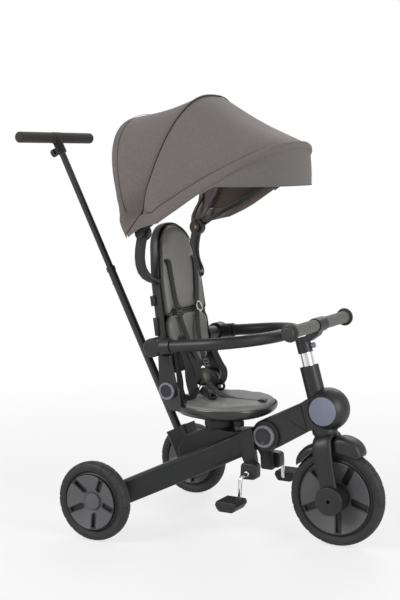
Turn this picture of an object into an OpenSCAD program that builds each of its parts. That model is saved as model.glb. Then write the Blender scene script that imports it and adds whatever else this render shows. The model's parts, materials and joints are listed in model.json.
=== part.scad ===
// Convertible children's tricycle: folding frame, swivelling seat, canopy and parent push bar.
// Each sub-part is one module. Lengths in millimetres, front of the tricycle toward +X, up is +Z.

/* [Wheels] */
// Radius of each rear tyre
rear_wheel_r = 100; // [85:1:120]
// Radius of the front tyre
front_wheel_r = 122.5; // [105:0.5:140]
// Width of every tyre
tyre_width = 34; // [26:1:44]
// Distance between the centres of the rear wheels
rear_track = 507; // [460:1:580]
// Distance from the rear axle to the front axle
wheelbase = 548; // [540:1:560]
// Number of slots in each wheel cover
cover_slots = 5; // [3:1:8]

/* [Frame] */
// Height of the fold pivot
pivot_z = 261; // [258:1:264]
// Distance from the rear axle to the fold pivot
pivot_x = 365; // [362:1:368]
// Radius of the beam's eye at the fold pivot
beam_eye_r = 40; // [36:1:42]
// Half of the width of the front beam
beam_half = 30; // [24:1:30]
// Half of the width of the main body
body_half = 36; // [35:0.5:37]
// Depth of each rear arm
arm_depth = 65; // [50:1:75]
// Thickness of each rear arm
arm_thick = 28; // [20:1:30]

/* [Steering] */
// Backward tilt of the steering axis in degrees
steer_tilt = 15.93; // [12:0.1:20]
// Radius of the ball-shaped head
ball_r = 53; // [48:1:56]
// Radius of the steering post
post_r = 15; // [12:0.5:15]
// Half of the width of the handlebar
handlebar_half = 184; // [150:1:220]

/* [Seat] */
// Distance from the rear axle to the seat's swivel axis
swivel_x = 220; // [216:1:224]
// Half of the width of the seat pan
seat_half = 130; // [115:1:140]
// Lean of the backrest in degrees
back_lean = 8.5; // [6:0.5:12]

/* [Canopy] */
// Reach of the front bow from the hub
front_bow_reach = 417.5; // [380:1:440]
// Reach of the middle bow from the hub
mid_bow_reach = 366; // [340:1:390]
// Reach of the rear bow from the hub
rear_bow_reach = 302; // [280:1:320]
// Thickness of the canopy fabric with its lining
fabric = 3; // [2:0.5:5]

/* [Push bar] */
// Lean of the push bar from the vertical in degrees
push_lean = 26.55; // [20:0.5:32]
// Length of the push bar from its collar to the handle
push_length = 845.6; // [780:0.2:900]
// Radius of the push bar's outer tube
push_outer_r = 11; // [10:0.5:12]
// Half of the width of the push handle
handle_half = 165; // [140:1:190]
// Radius of the push handle
handle_r = 14.5; // [12:0.5:16]

/* [Hidden] */
$fn = 64;
fit = 0.05;
push_base = [94, 247];
handle_x = push_base[0] - push_length * sin(push_lean);
rear_x = -(wheelbase + front_wheel_r + handle_x - handle_r) / 2;
wheel_y = rear_track / 2;
rear_cover_r = rear_wheel_r - 31;
front_cover_r = front_wheel_r - 31.5;
slot_turn = 7;
steer_origin = [559, 122];
ball_at = [23, 219];
hub_at = [76, 766];
swivel_knob_x = 274.7;
recline_at = [135, 369];
bumper_at = [124.5, 485];
push_joint = 462.9;

// ---- geometry helpers ----

function unit(v) = v / norm(v);
function lerp(a, b, t) = a + (b - a) * t;

// Smooth curve through a table of [position, value] rows
function table(rows, x, i = 0) =
  x <= rows[0][0] ? rows[0][1] :
  i >= len(rows) - 1 ? rows[len(rows) - 1][1] :
  x <= rows[i + 1][0]
    ? let (t = (x - rows[i][0]) / (rows[i + 1][0] - rows[i][0]))
      lerp(rows[i][1], rows[i + 1][1], t)
    : table(rows, x, i + 1);

// Corner b between a and c, rounded with radius r
function corner(a, b, c, r) =
  r < 0.01 ? [b] :
  let (
    u = unit(a - b),
    v = unit(c - b),
    half = acos(u * v) / 2,
    mid = b + unit(u + v) * r / sin(half),
    p = b + u * r / tan(half) - mid,
    q = b + v * r / tan(half) - mid,
    start = atan2(p[1], p[0]),
    raw = atan2(q[1], q[0]) - start,
    sweep = raw > 180 ? raw - 360 : raw < -180 ? raw + 360 : raw,
    steps = max(2, ceil(abs(sweep) / 18))
  )
  [for (k = [0:steps]) mid + r * [cos(start + sweep * k / steps), sin(start + sweep * k / steps)]];

// Closed outline from corners given as [x, z, radius]
function outline(c) =
  let (n = len(c))
  [for (i = [0:n - 1])
    let (a = c[(i + n - 1) % n], b = c[i], d = c[(i + 1) % n])
    each corner([a[0], a[1]], [b[0], b[1]], [d[0], d[1]], b[2])];

// Outline moved inward by d, for a counterclockwise outline
function inset(pts, d) =
  let (n = len(pts))
  [for (i = [0:n - 1])
    let (
      u = unit(pts[i] - pts[(i + n - 1) % n]),
      v = unit(pts[(i + 1) % n] - pts[i]),
      m = [-u[1] - v[1], u[0] + v[0]]
    )
    pts[i] + m * d / (1 + u * v)];

// Superellipse outline with n points
function oval(rx, ry, n, p = 2) =
  [for (i = [0:n - 1])
    let (c = cos(360 * i / n), s = sin(360 * i / n))
    [rx * sign(c) * pow(abs(c), 2 / p), ry * sign(s) * pow(abs(s), 2 / p)]];

// Solid through rings of points, each ring counterclockwise seen from the last one
module skin(rings, fan = false) {
  n = len(rings[0]);
  m = len(rings);
  middle = [for (ring = [rings[0], rings[m - 1]]) [for (k = [0:2]) [for (p = ring) p[k]] *
    [for (p = ring) 1] / n]];
  points = concat([for (ring = rings) for (p = ring) p], middle);
  sides = [for (i = [0:m - 2]) for (j = [0:n - 1])
    let (a = i * n + j, b = i * n + (j + 1) % n)
    each [[a, b + n, b], [a, a + n, b + n]]];
  flat = [[for (j = [0:n - 1]) j], [for (j = [n - 1:-1:0]) (m - 1) * n + j]];
  fans = [for (j = [0:n - 1]) each [
    [m * n, j, (j + 1) % n],
    [m * n + 1, (m - 1) * n + (j + 1) % n, (m - 1) * n + j]]];
  polyhedron(points, concat(sides, fan ? fans : flat), convexity = 6);
}

// Plate with rounded edges: outline in X and Z, counterclockwise, between two Y positions
module plate(pts, y0, y1, edge = 3) {
  s = edge;
  skin([for (k = [[y1, s], [y1 - s * 0.3, s * 0.3], [y1 - s, 0], [y0 + s, 0],
    [y0 + s * 0.3, s * 0.3], [y0, s]])
    [for (p = inset(pts, k[1])) [p[0], k[0], p[1]]]]);
}

// Strip or tube through 3-D points: the first coordinate of the section lies along side
module sweep(path, section, side) {
  n = len(path);
  skin([for (i = [0:n - 1])
    let (
      t = unit(path[min(i + 1, n - 1)] - path[max(i - 1, 0)]),
      b = unit(cross(t, side)),
      a = cross(b, t)
    )
    [for (q = section) path[i] + q[0] * a + q[1] * b]]);
}

module both() {
  children();
  mirror([0, 1, 0]) children();
}

// Cylinder along Y between y0 and y1
module across(at, y0, y1, r) {
  translate([at[0], y1, at[1]]) rotate([90, 0, 0]) cylinder(h = y1 - y0, r = r);
}

// Ring of revolution about Y from half-section points [radius, y]
module spin(at, pts) {
  translate([at[0], 0, at[1]]) rotate([90, 0, 0]) rotate_extrude()
    polygon([for (p = pts) [p[0], -p[1]]]);
}

module in_frame() {
  translate([rear_x, 0, 0]) children();
}

module in_steering() {
  in_frame() translate([steer_origin[0], 0, steer_origin[1]]) rotate([0, -steer_tilt, 0])
    children();
}

module in_push() {
  in_frame() translate([push_base[0], 0, push_base[1]]) rotate([0, -push_lean, 0]) children();
}

// Point on the backrest: y across, h up its face, n forward of its face
function on_back(y, h, n) = [
  137 - h * sin(back_lean) + n * cos(back_lean), y, 417 + h * cos(back_lean) + n * sin(back_lean)];

// ---- wheels ----

wheel_at = [wheelbase, front_wheel_r];

// Rounded tyre section with a bead groove on each side
module tyre(at, r, y) {
  w = tyre_width / 2;
  translate([0, y, 0]) spin(at, concat(
    [[r - 26, -w + 5], [r - 22, -w + 1]],
    [for (a = [-90:15:90]) let (k = r - 14) [k + 14 * pow(cos(a), 0.8), w * sin(a) * 0.98]],
    [[r - 22, w - 1], [r - 26, w - 5]]));
}

module slots(r, r_in, w, y0, y1) {
  for (k = [0:cover_slots - 1])
    rotate([0, -(slot_turn - 90 + k * 360 / cover_slots), 0])
      translate([0, y1, 0]) rotate([90, 0, 0]) linear_extrude(height = y1 - y0) union() {
        translate([r_in + w / 2, 0]) circle(r = w / 2);
        translate([r_in + w / 2, -w / 2]) square([r, w]);
      }
}

// Body with a dished face on both sides: half as thick as y0 at r0 and y1 at r1
module dish(r0, y0, r1, y1) {
  spin([0, 0], [[r0, -y0], [r1, -y1], [r1, y1], [r0, y0]]);
}

// Dark plastic rim: barrel, web, hub and the frames of the cover's slots
module rim(at, r, y, cover, slot_in, slot_w, hub_r, hub, bore, face) {
  translate([at[0], y, at[1]]) difference() {
    union() {
      spin([0, 0], [[cover, -14], [cover, 14], [r - 26, 12], [r - 26, -12]]);
      dish(hub_r - 3, 0.4, cover + 1, face - 3.6);
      spin([0, 0], [[bore, hub[0]], [hub_r, hub[0]], [hub_r, hub[1]], [bore, hub[1]]]);
      intersection() {
        slots(cover, slot_in + 0.2, slot_w - 0.4, -30, 30);
        dish(hub_r + 1, 3.4, cover + 0.6, face - 0.5);
      }
    }
    difference() {
      slots(cover - slot_in - slot_w / 2 - 5, slot_in + 3.2, slot_w - 6.4, -30, 30);
      dish(hub_r - 6, 0.4, cover + 4, face - 8);
    }
  }
}

// Dished cover with open slots, one on each side of the wheel
module cover(at, r, y, slot_in, slot_w, inner, face) {
  translate([at[0], y, at[1]]) for (m = [0, 1]) mirror([0, m, 0]) difference() {
    spin([0, 0], [[inner, 1.9], [r - 0.2, face - 3], [r - 0.2, face - 0.4], [r - 0.8, face],
      [r - 2.6, face], [r - 3.6, face - 1.1], [inner, 4.5]]);
    slots(r, slot_in, slot_w, -1, face + 4);
  }
}

module front_tyre() color("#262729") in_frame() tyre(wheel_at, front_wheel_r, 0);

module front_rim() color("#1f2022") in_frame()
  rim(wheel_at, front_wheel_r, 0, front_cover_r, 37, 19, 34, [-30, 30], 6 + fit, 21);

module front_covers() color("#666668") in_frame()
  cover(wheel_at, front_cover_r, 0, 37, 19, 34 + fit, 21);

module rear_tyre_left() color("#262729") in_frame() tyre([0, rear_wheel_r], rear_wheel_r, wheel_y);

module rear_tyre_right() color("#262729") in_frame()
  tyre([0, rear_wheel_r], rear_wheel_r, -wheel_y);

module rear_rim_left() color("#1f2022") in_frame()
  rim([0, rear_wheel_r], rear_wheel_r, wheel_y, rear_cover_r, 28, 16, 15, [-18, 9.2], 5 + fit, 22);

module rear_rim_right() color("#1f2022") in_frame()
  rim([0, rear_wheel_r], rear_wheel_r, -wheel_y, rear_cover_r, 28, 16, 15, [-9.2, 18], 5 + fit, 22);

// Cover of a rear wheel with its round centre cap on the outer side
module rear_cover(s) {
  cover([0, rear_wheel_r], rear_cover_r, s * wheel_y, 28, 16, 15 + fit, 22);
  translate([0, s * wheel_y, 0]) mirror([0, s < 0 ? 1 : 0, 0])
    spin([0, rear_wheel_r], [[0, 9.6], [16.8, 9.6], [16.8, 3.6], [21, 3.6], [21, 10.2],
      [19.6, 11.6], [0, 12]]);
}

module rear_cover_left() color("#666668") in_frame() rear_cover(1);

module rear_cover_right() color("#666668") in_frame() rear_cover(-1);

module rear_axle() color("#b8babd") in_frame() {
  across([0, rear_wheel_r], -wheel_y - 8.6, wheel_y + 8.6, 5);
  both() across([0, rear_wheel_r], wheel_y - 22.3, wheel_y - 18.2, 8);
}

// ---- rear frame ----

pivot = [pivot_x, pivot_z];

// Points of an arc about the fold pivot
function pivot_arc(r, a0, a1, n) =
  [for (k = [0:n]) let (a = lerp(a0, a1, k / n)) [pivot_x + r * cos(a), pivot_z + r * sin(a)]];

body_outline = concat(
  outline([[322, 216, 14], [347, 223, 0], [338, 258, 0], [330, 268, 8], [262, 262, 3],
    [197, 266, 3], [150, 243.5, 6], [138, 242, 1], [113, 201, 2], [119, 150, 8]]));

cheek_outline = concat([[326, 236]], pivot_arc(38, -104, 100, 16), [[324, 250]]);

module main_body() color("#2b2c2e") {
  difference() {
    union() {
      in_frame() {
        plate(body_outline, -body_half, body_half, 4);
        plate(cheek_outline, -38, 38, 1.5);
        translate([swivel_x, 0, 238]) cylinder(h = 12.1, r = 34);
        translate([swivel_x, 0, 250]) cylinder(h = 18.3, r1 = 34, r2 = 38.5);
        translate([80, -25, 158]) linear_extrude(height = 6)
          polygon(outline([[0, 0, 12], [44, 0, 0], [44, 50, 0], [0, 50, 12]]));
      }
      in_push() translate([0, 0, -75]) linear_extrude(height = 75)
        polygon(outline([[-20, -33, 7], [38, -33, 7], [38, 33, 7], [-20, 33, 7]]));
    }
    in_frame() {
      across(pivot, -beam_half - 0.5, beam_half + 0.5, beam_eye_r + 1.5);
      translate([pivot_x, -beam_half - 0.5, pivot_z - 90])
        cube([100, 2 * beam_half + 1, 180]);
      across(pivot, -60, 60, 10 + fit);
      translate([swivel_x, 0, 244]) cylinder(h = 40, r = 15 + fit);
      translate([swivel_knob_x, 0, 245]) cylinder(h = 40, r = 4 + fit);
    }
    in_push() translate([0, 0, -62]) cylinder(h = 80, r = push_outer_r + fit);
  }
}

// Centreline of an arm in plan and the arm's thickness there
function arm_plan(t) =
  let (a = 1 - t)
  a * a * a * [318, 45.2] + 3 * a * a * t * [255, 45] + 3 * a * t * t * [180, 110] + t * t * t * [-12, 222];

arm_section = [[0.5, -0.36], [0.5, 0.36], [0.36, 0.46], [0.2, 0.5], [-0.2, 0.5], [-0.36, 0.46],
  [-0.5, 0.36], [-0.5, -0.36], [-0.36, -0.46], [-0.2, -0.5], [0.2, -0.5], [0.36, -0.46]];

// Left arm from the front plate to the boss around the rear axle
module arm() {
  ts = [0, 0.06, 0.12, 0.19, 0.27, 0.36, 0.46, 0.57, 0.69, 0.82, 0.93, 0.98, 1];
  difference() {
    union() {
      skin([for (t = ts)
        let (
          p = arm_plan(t),
          d = unit(arm_plan(min(t + 0.01, 1)) - arm_plan(max(t - 0.01, 0))),
          side = [-d[1], d[0]],
          w = table([[0, 9], [0.12, 9], [0.36, arm_thick], [0.93, arm_thick], [1, 20]], t),
          h = table([[0, arm_depth], [0.93, arm_depth], [0.98, 54], [1, 40]], t),
          z = 89.6 + 0.4745 * p[0]
        )
        [for (q = arm_section) [p[0] + side[0] * q[0] * w, p[1] + side[1] * q[0] * w, z + q[1] * h]]
      ]);
      plate(outline([[298, 224, 3], [316, 190, 3], [318, 155, 6], [354, 155, 6], [349, 200, 20],
        [335, 282.4, 3], [301, 267, 2], [296, 242, 3]]), 38.2, 53.4, 2.5);
      plate([for (a = [0:15:345]) [25 * cos(a), rear_wheel_r + 25 * sin(a)]], 197, 231, 2.5);
    }
    across([0, rear_wheel_r], 150, 260, 5 + fit);
    across(pivot, 30, 60, 28.7);
  }
}

module arm_left() color("#2c2d30") in_frame() arm();

module arm_right() color("#2c2d30") in_frame() mirror([0, 1, 0]) arm();

module pivot_pin() color("#8f9297") in_frame() difference() {
  across(pivot, -40.5, 40.5, 10);
  both() across(pivot, 30, 45, 5 + fit);
}

module pivot_rings() color("#77777f") in_frame() both()
  spin(pivot, [[20.6, 38.1], [28.4, 38.1], [28.4, 45.6], [27.2, 47], [21.8, 47], [20.6, 45.6]]);

// Round push button in the middle of a pivot ring
module fold_button() {
  spin(pivot, [[0, 44.1], [20.4, 44.1], [20.4, 46.5], [19, 47.6], [16.5, 47.9], [15.5, 47],
    [0, 46.6]]);
  across(pivot, 37, 45, 5);
}

module fold_button_left() color("#26272a") in_frame() fold_button();

module fold_button_right() color("#26272a") in_frame() mirror([0, 1, 0]) fold_button();

module pedal_sockets() color("#232427") in_frame() both() difference() {
  plate(outline([[320, 156, 8], [364, 158, 10], [364, 198, 10], [322, 199, 10]]), 53.45, 85, 4);
  across([342, 173], 50, 90, 5 + fit);
}

// ---- pedals parked on the frame ----

crank_path = [[342, 111.5, 173], [342, 119, 171.5], [341.8, 122.5, 166], [341.5, 123.5, 158],
  [341, 124, 138], [340.5, 124.8, 126], [340, 128, 118.5], [339.3, 134.5, 115.6]];

module pedal_cranks() color("#c9c5bd") in_frame() both() {
  across([342, 173], 55, 112, 5);
  sweep(crank_path, oval(4.9, 4.9, 12), [1, 0, 0]);
  across([339, 115.5], 134, 191, 4.9);
}

// Solid tread block with a round bore for the crank's spindle
module pedal(s) {
  mirror([0, s < 0 ? 1 : 0, 0]) difference() {
    plate(outline([[320, 102, 8], [358, 102, 8], [368, 117, 3], [365, 127, 3], [313, 127, 3],
      [310, 117, 3]]), 136.5, 197.5, 2.4);
    across([339, 115.5], 130, 192, 4.9 + fit);
  }
}

module pedal_left() color("#242527") in_frame() pedal(1);

module pedal_right() color("#242527") in_frame() pedal(-1);

// ---- front frame ----

beam_outline = concat(pivot_arc(beam_eye_r, 116.8, 301.1, 15),
  outline([[385.7, 226.7, 0], [478.6, 282.8, 2], [458.6, 352.8, 2], [400, 323.4, 0]]));

module front_beam() color("#2a2b2d") in_frame() difference() {
  union() {
    plate([for (k = [0:len(beam_outline) - 1]) if (k != 16) beam_outline[k]],
      -beam_half, beam_half, 4);
    across([453, 340], -beam_half - 1, beam_half + 1, 3.6);
  }
  across(pivot, -60, 60, 10 + fit);
}

module head_shell() color("#28292b") {
  difference() {
    union() {
      in_steering() {
        difference() {
          translate([ball_at[0], 0, ball_at[1]]) sphere(r = ball_r);
          both() translate([ball_at[0] - 80, 39, ball_at[1] - 80]) cube([160, 40, 160]);
        }
        translate([0, 0, 165]) cylinder(h = 40, r = 32);
        translate([0, 0, 205]) cylinder(h = 127.8, r = 23.5);
      }
      in_frame() rotate([90, 0, 0]) linear_extrude(height = 2 * beam_half - 0.4, center = true)
        polygon([[479.3, 283.2], [500, 291], [520, 330], [500, 360], [477, 365], [459.3, 353.2]]);
    }
    in_steering() translate([0, 0, 100]) cylinder(h = 300, r = 19);
  }
}

module head_caps() color("#7d8496") in_steering() both()
  spin(ball_at, [[0, 39.05], [35.6, 39.05], [34.6, 40.2], [30, 41.2], [20, 42], [0, 42.6]]);

module head_bearings() color("#3a3b3d") in_steering() for (z = [165.5, 318])
  translate([0, 0, z]) difference() {
    cylinder(h = 14.6, r = 19);
    translate([0, 0, -1]) cylinder(h = 20, r = post_r + fit);
  }

// ---- steering ----

// Wheel centre in the steering axis's own coordinates
wheel_local = [
  (wheelbase - steer_origin[0]) * cos(steer_tilt) + (front_wheel_r - steer_origin[1]) * sin(steer_tilt),
  (steer_origin[0] - wheelbase) * sin(steer_tilt) + (front_wheel_r - steer_origin[1]) * cos(steer_tilt)];

fork_half = [[-10, -40, 8], [-8.5, -40, 50], [-6, -40, 95], [-3.5, -39.5, 122],
  [-1.5, -36, 138.5], [-0.5, -28, 149.5], [0, -17, 154.5], [0, -6, 155.5]];

module fork() color("#2b2c2f") in_steering() difference() {
  union() {
    sweep(concat(fork_half, [for (i = [len(fork_half) - 1:-1:0])
      [fork_half[i][0], -fork_half[i][1], fork_half[i][2]]]),
      outline([[-24, -9, 7], [24, -9, 7], [24, 9, 7], [-24, 9, 7]]), [1, 0, 0]);
    both() across(wheel_local, 30.6, 49.5, 35);
  }
  across(wheel_local, -60, 60, 6);
  translate([0, 0, 149]) cylinder(h = 40, r = post_r);
}

module mudguard() color("#2d2e31") in_steering() skin([for (f = [58, 61, 66, 72, 80, 87, 90.5, 93,
  97, 104, 110, 117, 125, 134, 141, 146])
  let (
    w = table([[58, 25], [66, 28.5], [75, 30], [88, 30], [93, 26], [112, 26], [120, 28],
      [146, 25]], f),
    ro = table([[58, 132], [61, 142], [66, 150], [72, 155], [80, 157], [87, 156], [90.5, 151],
      [93, 145], [95, 143], [100, 142], [104, 141.5], [112, 141.5], [117, 143.5], [125, 146],
      [134, 144], [141, 140], [146, 131]], f),
    rs = table([[58, 124.4], [66, 113], [95, 110], [104, 122], [141, 122], [146, 124.4]], f),
    ri = table([[58, 124.8], [61, 126], [141, 126], [146, 124.8]], f),
    a = f - steer_tilt
  )
  [for (p = [[-w, rs], [-w, ro - 12 > rs + 1 ? ro - 12 : rs + 1], [-w + 6, ro - 4], [-w * 0.4, ro],
    [w * 0.4, ro], [w - 6, ro - 4], [w, ro - 12 > rs + 1 ? ro - 12 : rs + 1], [w, rs],
    [w - 6, rs], [w - 6, ri - 0.3], [w * 0.4, ri + 0.5], [-w * 0.4, ri + 0.5], [-w + 6, ri - 0.3],
    [-w + 6, rs]])
    [wheel_local[0] + p[1] * cos(a), p[0], wheel_local[1] + p[1] * sin(a)]]], true);

module steering_post() color("#d3d4d6") in_steering()
  translate([0, 0, 149.2]) cylinder(h = 254.8, r = post_r);

module fork_caps() color("#2a2b2d") in_steering() both() difference() {
  spin(wheel_local, [[0, 49.6], [35.5, 49.6], [35.5, 58.4], [34.2, 60], [0, 60.8]]);
  across(wheel_local, 52, 70, 5);
}

module front_axle() color("#a9abae") in_steering() across(wheel_local, -49.4, 49.4, 6);

module stem_clamp() color("#27282a") in_steering() difference() {
  union() {
    translate([0, 0, 366]) cylinder(h = 39.6, r = 18.5);
    rotate([90, 0, 0]) linear_extrude(height = 28, center = true)
      polygon([[4, 391], [22, 391], [46, 400], [58, 412], [40, 432], [14, 404], [4, 404]]);
    across([51.5, 426], -24, 24, 18);
    translate([0, 0, 380]) rotate([0, 90, 0]) cylinder(h = 21, r = 6);
  }
  translate([0, 0, 340]) cylinder(h = 120, r = post_r + fit);
  translate([12, 0, 380]) rotate([0, 90, 0]) cylinder(h = 30, r = 3 + fit);
  across([51.5, 426], -40, 40, 11);
}

module clamp_knob() color("#8b8799") in_steering() translate([0, 0, 380]) rotate([0, 90, 0]) {
  translate([0, 0, 15.5]) cylinder(h = 7, r = 3);
  translate([0, 0, 21.5]) difference() {
    cylinder(h = 7.5, r = 7);
    for (a = [0:60:300]) rotate([0, 0, a]) translate([8.4, 0, -1]) cylinder(h = 10, r = 2.2);
  }
}

module handlebar_tube() color("#55565a") in_steering() across([51.5, 426], -178, 178, 11);

module handlebar_foam() color("#6a6a64") in_steering() both() difference() {
  across([51.5, 426], 24.2, 164, 15);
  across([51.5, 426], 20, 170, 11);
}

module bar_end_caps() color("#3a3a38") in_steering() both() difference() {
  spin([51.5, 426], [[0, 164.1], [20, 164.1], [22.5, 165.5], [22.5, 168], [20, 169.4],
    [17, 170.2], [17, 179], [14.5, 182.6], [9, 184], [0, 184]]);
  across([51.5, 426], 150, 178.1, 11);
}

// ---- seat ----

module seat_turntable() color("#232426") in_frame() translate([swivel_x, 0, 0]) {
  translate([0, 0, 268.4]) cylinder(h = 15.6, r = 40);
  translate([0, 0, 246]) cylinder(h = 22.5, r = 15);
}

module swivel_knob() color("#5c5c52") in_frame() translate([swivel_knob_x, 0, 0]) {
  translate([0, 0, 267]) cylinder(h = 6, r = 4);
  translate([0, 0, 270.6]) difference() {
    cylinder(h = 12.4, r = 13);
    for (a = [0:30:330]) rotate([0, 0, a]) translate([13.8, 0, -1]) cylinder(h = 18, r = 1.9);
  }
}

// Egg-shaped plan of the seat at scale s
function seat_plan(s, z, n = 40) =
  let (cx = lerp(221, 240, s), front = lerp(132, 126, s), back = lerp(126, 135, s))
  [for (i = [0:n - 1])
    let (c = cos(360 * i / n), q = sin(360 * i / n))
    [cx + (c > 0 ? front : back) * sign(c) * pow(abs(c), 0.91) * s,
      seat_half * sign(q) * pow(abs(q), 0.91) * s, z]];

bracket_outline = outline([[138, 316, 4], [170, 316, 4], [160, 372, 20], [150, 392, 18],
  [120, 392, 18], [111, 368, 14], [111, 350, 8]]);

module seat_pan() color("#252628") in_frame() difference() {
  union() {
    skin([for (k = [[0.3, 284.1], [0.36, 285.4], [0.45, 289], [0.58, 296], [0.76, 306],
      [0.89, 313], [0.97, 319], [1, 324], [1, 328], [0.985, 329.5], [0.965, 329.5], [0.955, 324],
      [0.9, 316], [0.78, 308]]) seat_plan(k[0], k[1])]);
    both() plate(bracket_outline, 99, 112.5, 3);
  }
  both() across(recline_at, 90, 120, 6 + fit);
}

module seat_pad() color("#7b7a77") in_frame() difference() {
  skin([for (k = [[0.775, 308.3], [0.895, 316.3], [0.95, 324], [0.96, 330], [0.99, 330],
    [1.008, 332.5], [1.012, 336], [0.995, 340.5], [0.95, 343.8], [0.86, 345], [0.6, 343],
    [0.3, 341.5]]) seat_plan(k[0], k[1])]);
  both() translate([100, 98.8, 290]) cube([76, 60, 80]);
}

// ---- backrest ----

// Ring of the backrest from [across, up] points, wrapped forward toward the sides
function back_ring(pts, n, d = 0) =
  [for (p = inset(pts, d)) on_back(p[0], p[1], n + 12 * pow(p[0] / 110, 2))];

shell_outline = outline([[-84, -10, 28], [84, -10, 28], [112.5, 62, 90], [108, 232, 120],
  [56, 356, 46], [-56, 356, 46], [-108, 232, 120], [-112.5, 62, 90]]);

module back_shell() color("#2a2b2d") in_frame() {
  difference() {
    union() {
      skin([for (k = [[-44, 26], [-42, 14], [-37, 5], [-30, 1], [-22, 0], [-14, 0], [-12.5, 1.5],
        [-12.5, 4], [-14, 5.5], [-22, 6.5]]) back_ring(shell_outline, k[0], k[1])], true);
      both() across(bumper_at, 96, 147.3, 17);
      both() across([125, 440], 96, 113, 9);
    }
    both() across(bumper_at, 105, 160, 8);
    back_hollow();
  }
  both() across(bumper_at, 104.8, 174, 8);
}

// Room behind the pads, kept clear of the side bosses
module back_hollow() {
  skin([for (k = [[-21.9, 7.5], [-12, 6.5], [20, 6.5]]) back_ring(shell_outline, k[0], k[1])], true);
}

upper_outline = outline([[-101, 144.5, 12], [101, 144.5, 12], [100, 228, 110], [51, 347.5, 40],
  [-51, 347.5, 40], [-100, 228, 110]]);

lower_outline = outline([[-78, -2, 22], [78, -2, 22], [103, 62, 80], [101.5, 141.5, 12],
  [-101.5, 141.5, 12], [-103, 62, 80]]);

module back_pad_upper() color("#757472") in_frame()
  skin([for (k = [[-19.5, 0.8], [-9, 0], [-4, 1.5], [-1, 6], [0.5, 13], [0, 26]])
    back_ring(upper_outline, k[0], k[1])], true);

module back_pad_lower() color("#757472") in_frame()
  skin([for (k = [[-19.5, 0.8], [-9, 0], [-4, 1.5], [-1, 6], [0.5, 13], [0, 26]])
    back_ring(lower_outline, k[0], k[1])], true);

module back_legs() color("#27282a") in_frame() both() difference() {
  plate(outline([[118, 348, 18], [157, 348, 18], [158, 390, 16], [142, 458, 8], [109, 462, 8],
    [112, 390, 20]]), 113.1, 127, 3);
  across(recline_at, 100, 140, 6);
}

module back_rings() color("#6d6d72") in_frame() both() {
  spin(recline_at, [[0, 127.1], [21.8, 127.1], [21.8, 129.6], [20.6, 131], [17, 131],
    [16, 129.8], [0, 129.8]]);
  across(recline_at, 99.2, 128, 6);
}

// ---- bumper ----

module in_bumper() {
  in_frame() translate([bumper_at[0], 0, bumper_at[1]]) rotate([0, -6.5, 0]) children();
}

module bumper_elbows() color("#242527") in_bumper() both() difference() {
  union() {
    spin([0, 0], [[0, 150.2], [23.5, 150.2], [23.5, 183], [20, 186.5], [12, 188], [0, 188]]);
    translate([0, 166, 0]) rotate([0, 90, 0]) cylinder(h = 48, r = 18.5);
  }
  across([0, 0], 140, 176, 8 + fit);
  translate([22, 166, 0]) rotate([0, 90, 0]) cylinder(h = 40, r = 15);
}

module bumper_bar() color("#2b2c2e") in_bumper() {
  both() {
    translate([22.1, 166, 0]) rotate([0, 90, 0]) cylinder(h = 111.9, r = 15);
    translate([134, 16, 0]) rotate_extrude(angle = 90) translate([150, 0]) circle(r = 15);
  }
  across([284, 0], -16, 16, 15);
}

// ---- canopy ----

upright_path = [[96, 108.6, 642], [93, 118, 645], [88, 128, 650], [81, 135, 658],
  [73, 138.5, 670], [68, 139.5, 686], [66, 139.5, 704], [67, 139.5, 722], [70, 139.5, 740],
  [74, 139.5, 757]];

module canopy_uprights() color("#232426") in_frame() both() difference() {
  union() {
    sweep(upright_path, oval(14, 7.4, 14, 2.6), [1, 0, 0]);
    across(hub_at, 132, 147, 20.5);
    across(hub_at, 129, 151, 6);
  }
  across(hub_at, 125, 130.4, 2.2);
}

// Point of a bow at angle a: legs for t below 0 or above 180, a rounded top between
function bow_point(a, reach, half, t) =
  let (
    leg = 0.35 * reach,
    k = t < 0 ? 1 + t / 90 : t > 180 ? 1 - (t - 180) / 90 : 1,
    c = t < 0 ? 1 : t > 180 ? -1 : cos(t),
    s = k < 1 ? leg * k : leg + (reach - leg) * pow(abs(sin(t)), 0.784),
    y = k < 1 ? -sign(c) * (139 + (half - 139) * sin(90 * k))
      : -half * sign(c) * pow(abs(c), 0.784)
  )
  [hub_at[0] + s * cos(a), y, hub_at[1] + s * sin(a)];

front_bow = [33.5, front_bow_reach, 205];
mid_bow = [69.8, mid_bow_reach, 190];
rear_bow = [103.6, rear_bow_reach, 212];

bow_steps = [-90, -66, -44, -22, 0, 5, 11, 18, 26, 35, 45, 56, 68, 80];

function bow_line(b, d) = let (
    one = [for (t = bow_steps) bow_point(b[0], b[1] - d, b[2] - d, t)],
    n = len(one))
  concat(one, [for (i = [n - 1:-1:0]) [one[i][0], -one[i][1], one[i][2]]]);

// Flat plastic bow with an eye at each hub, bored to depth
module bow(b, y0, y1, r, depth) {
  line = bow_line(b, 9);
  n = len(line);
  y = (y0 + y1) / 2;
  difference() {
    union() {
      sweep([for (i = [0:n - 1])
        let (q = line[i], m = min(i, n - 1 - i))
        m > 2 ? q : [q[0], sign(q[1]) * (m < 2 ? y : lerp(y, abs(q[1]), 0.5)), q[2]]],
        [[-4, -2.4], [4, -2.4], [5, 0], [4, 2.4], [-4, 2.4], [-5, 0]],
        [-sin(b[0]), 0, cos(b[0])]);
      both() across(hub_at, y0, y1, 12);
    }
    both() across(hub_at, y0 - 20, depth, r + fit);
  }
}

module canopy_bow_rear() color("#2b2b2c") in_frame() bow(rear_bow, 126.4, 131.8, 6, 152);

module canopy_bow_mid() color("#2b2b2c") in_frame() {
  bow(mid_bow, 147.3, 153.5, 6, 151.4);
  both() across(hub_at, 153, 158.6, 5);
}

module canopy_bow_front() color("#2b2b2c") in_frame() bow(front_bow, 153.9, 158.6, 5, 180);

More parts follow.
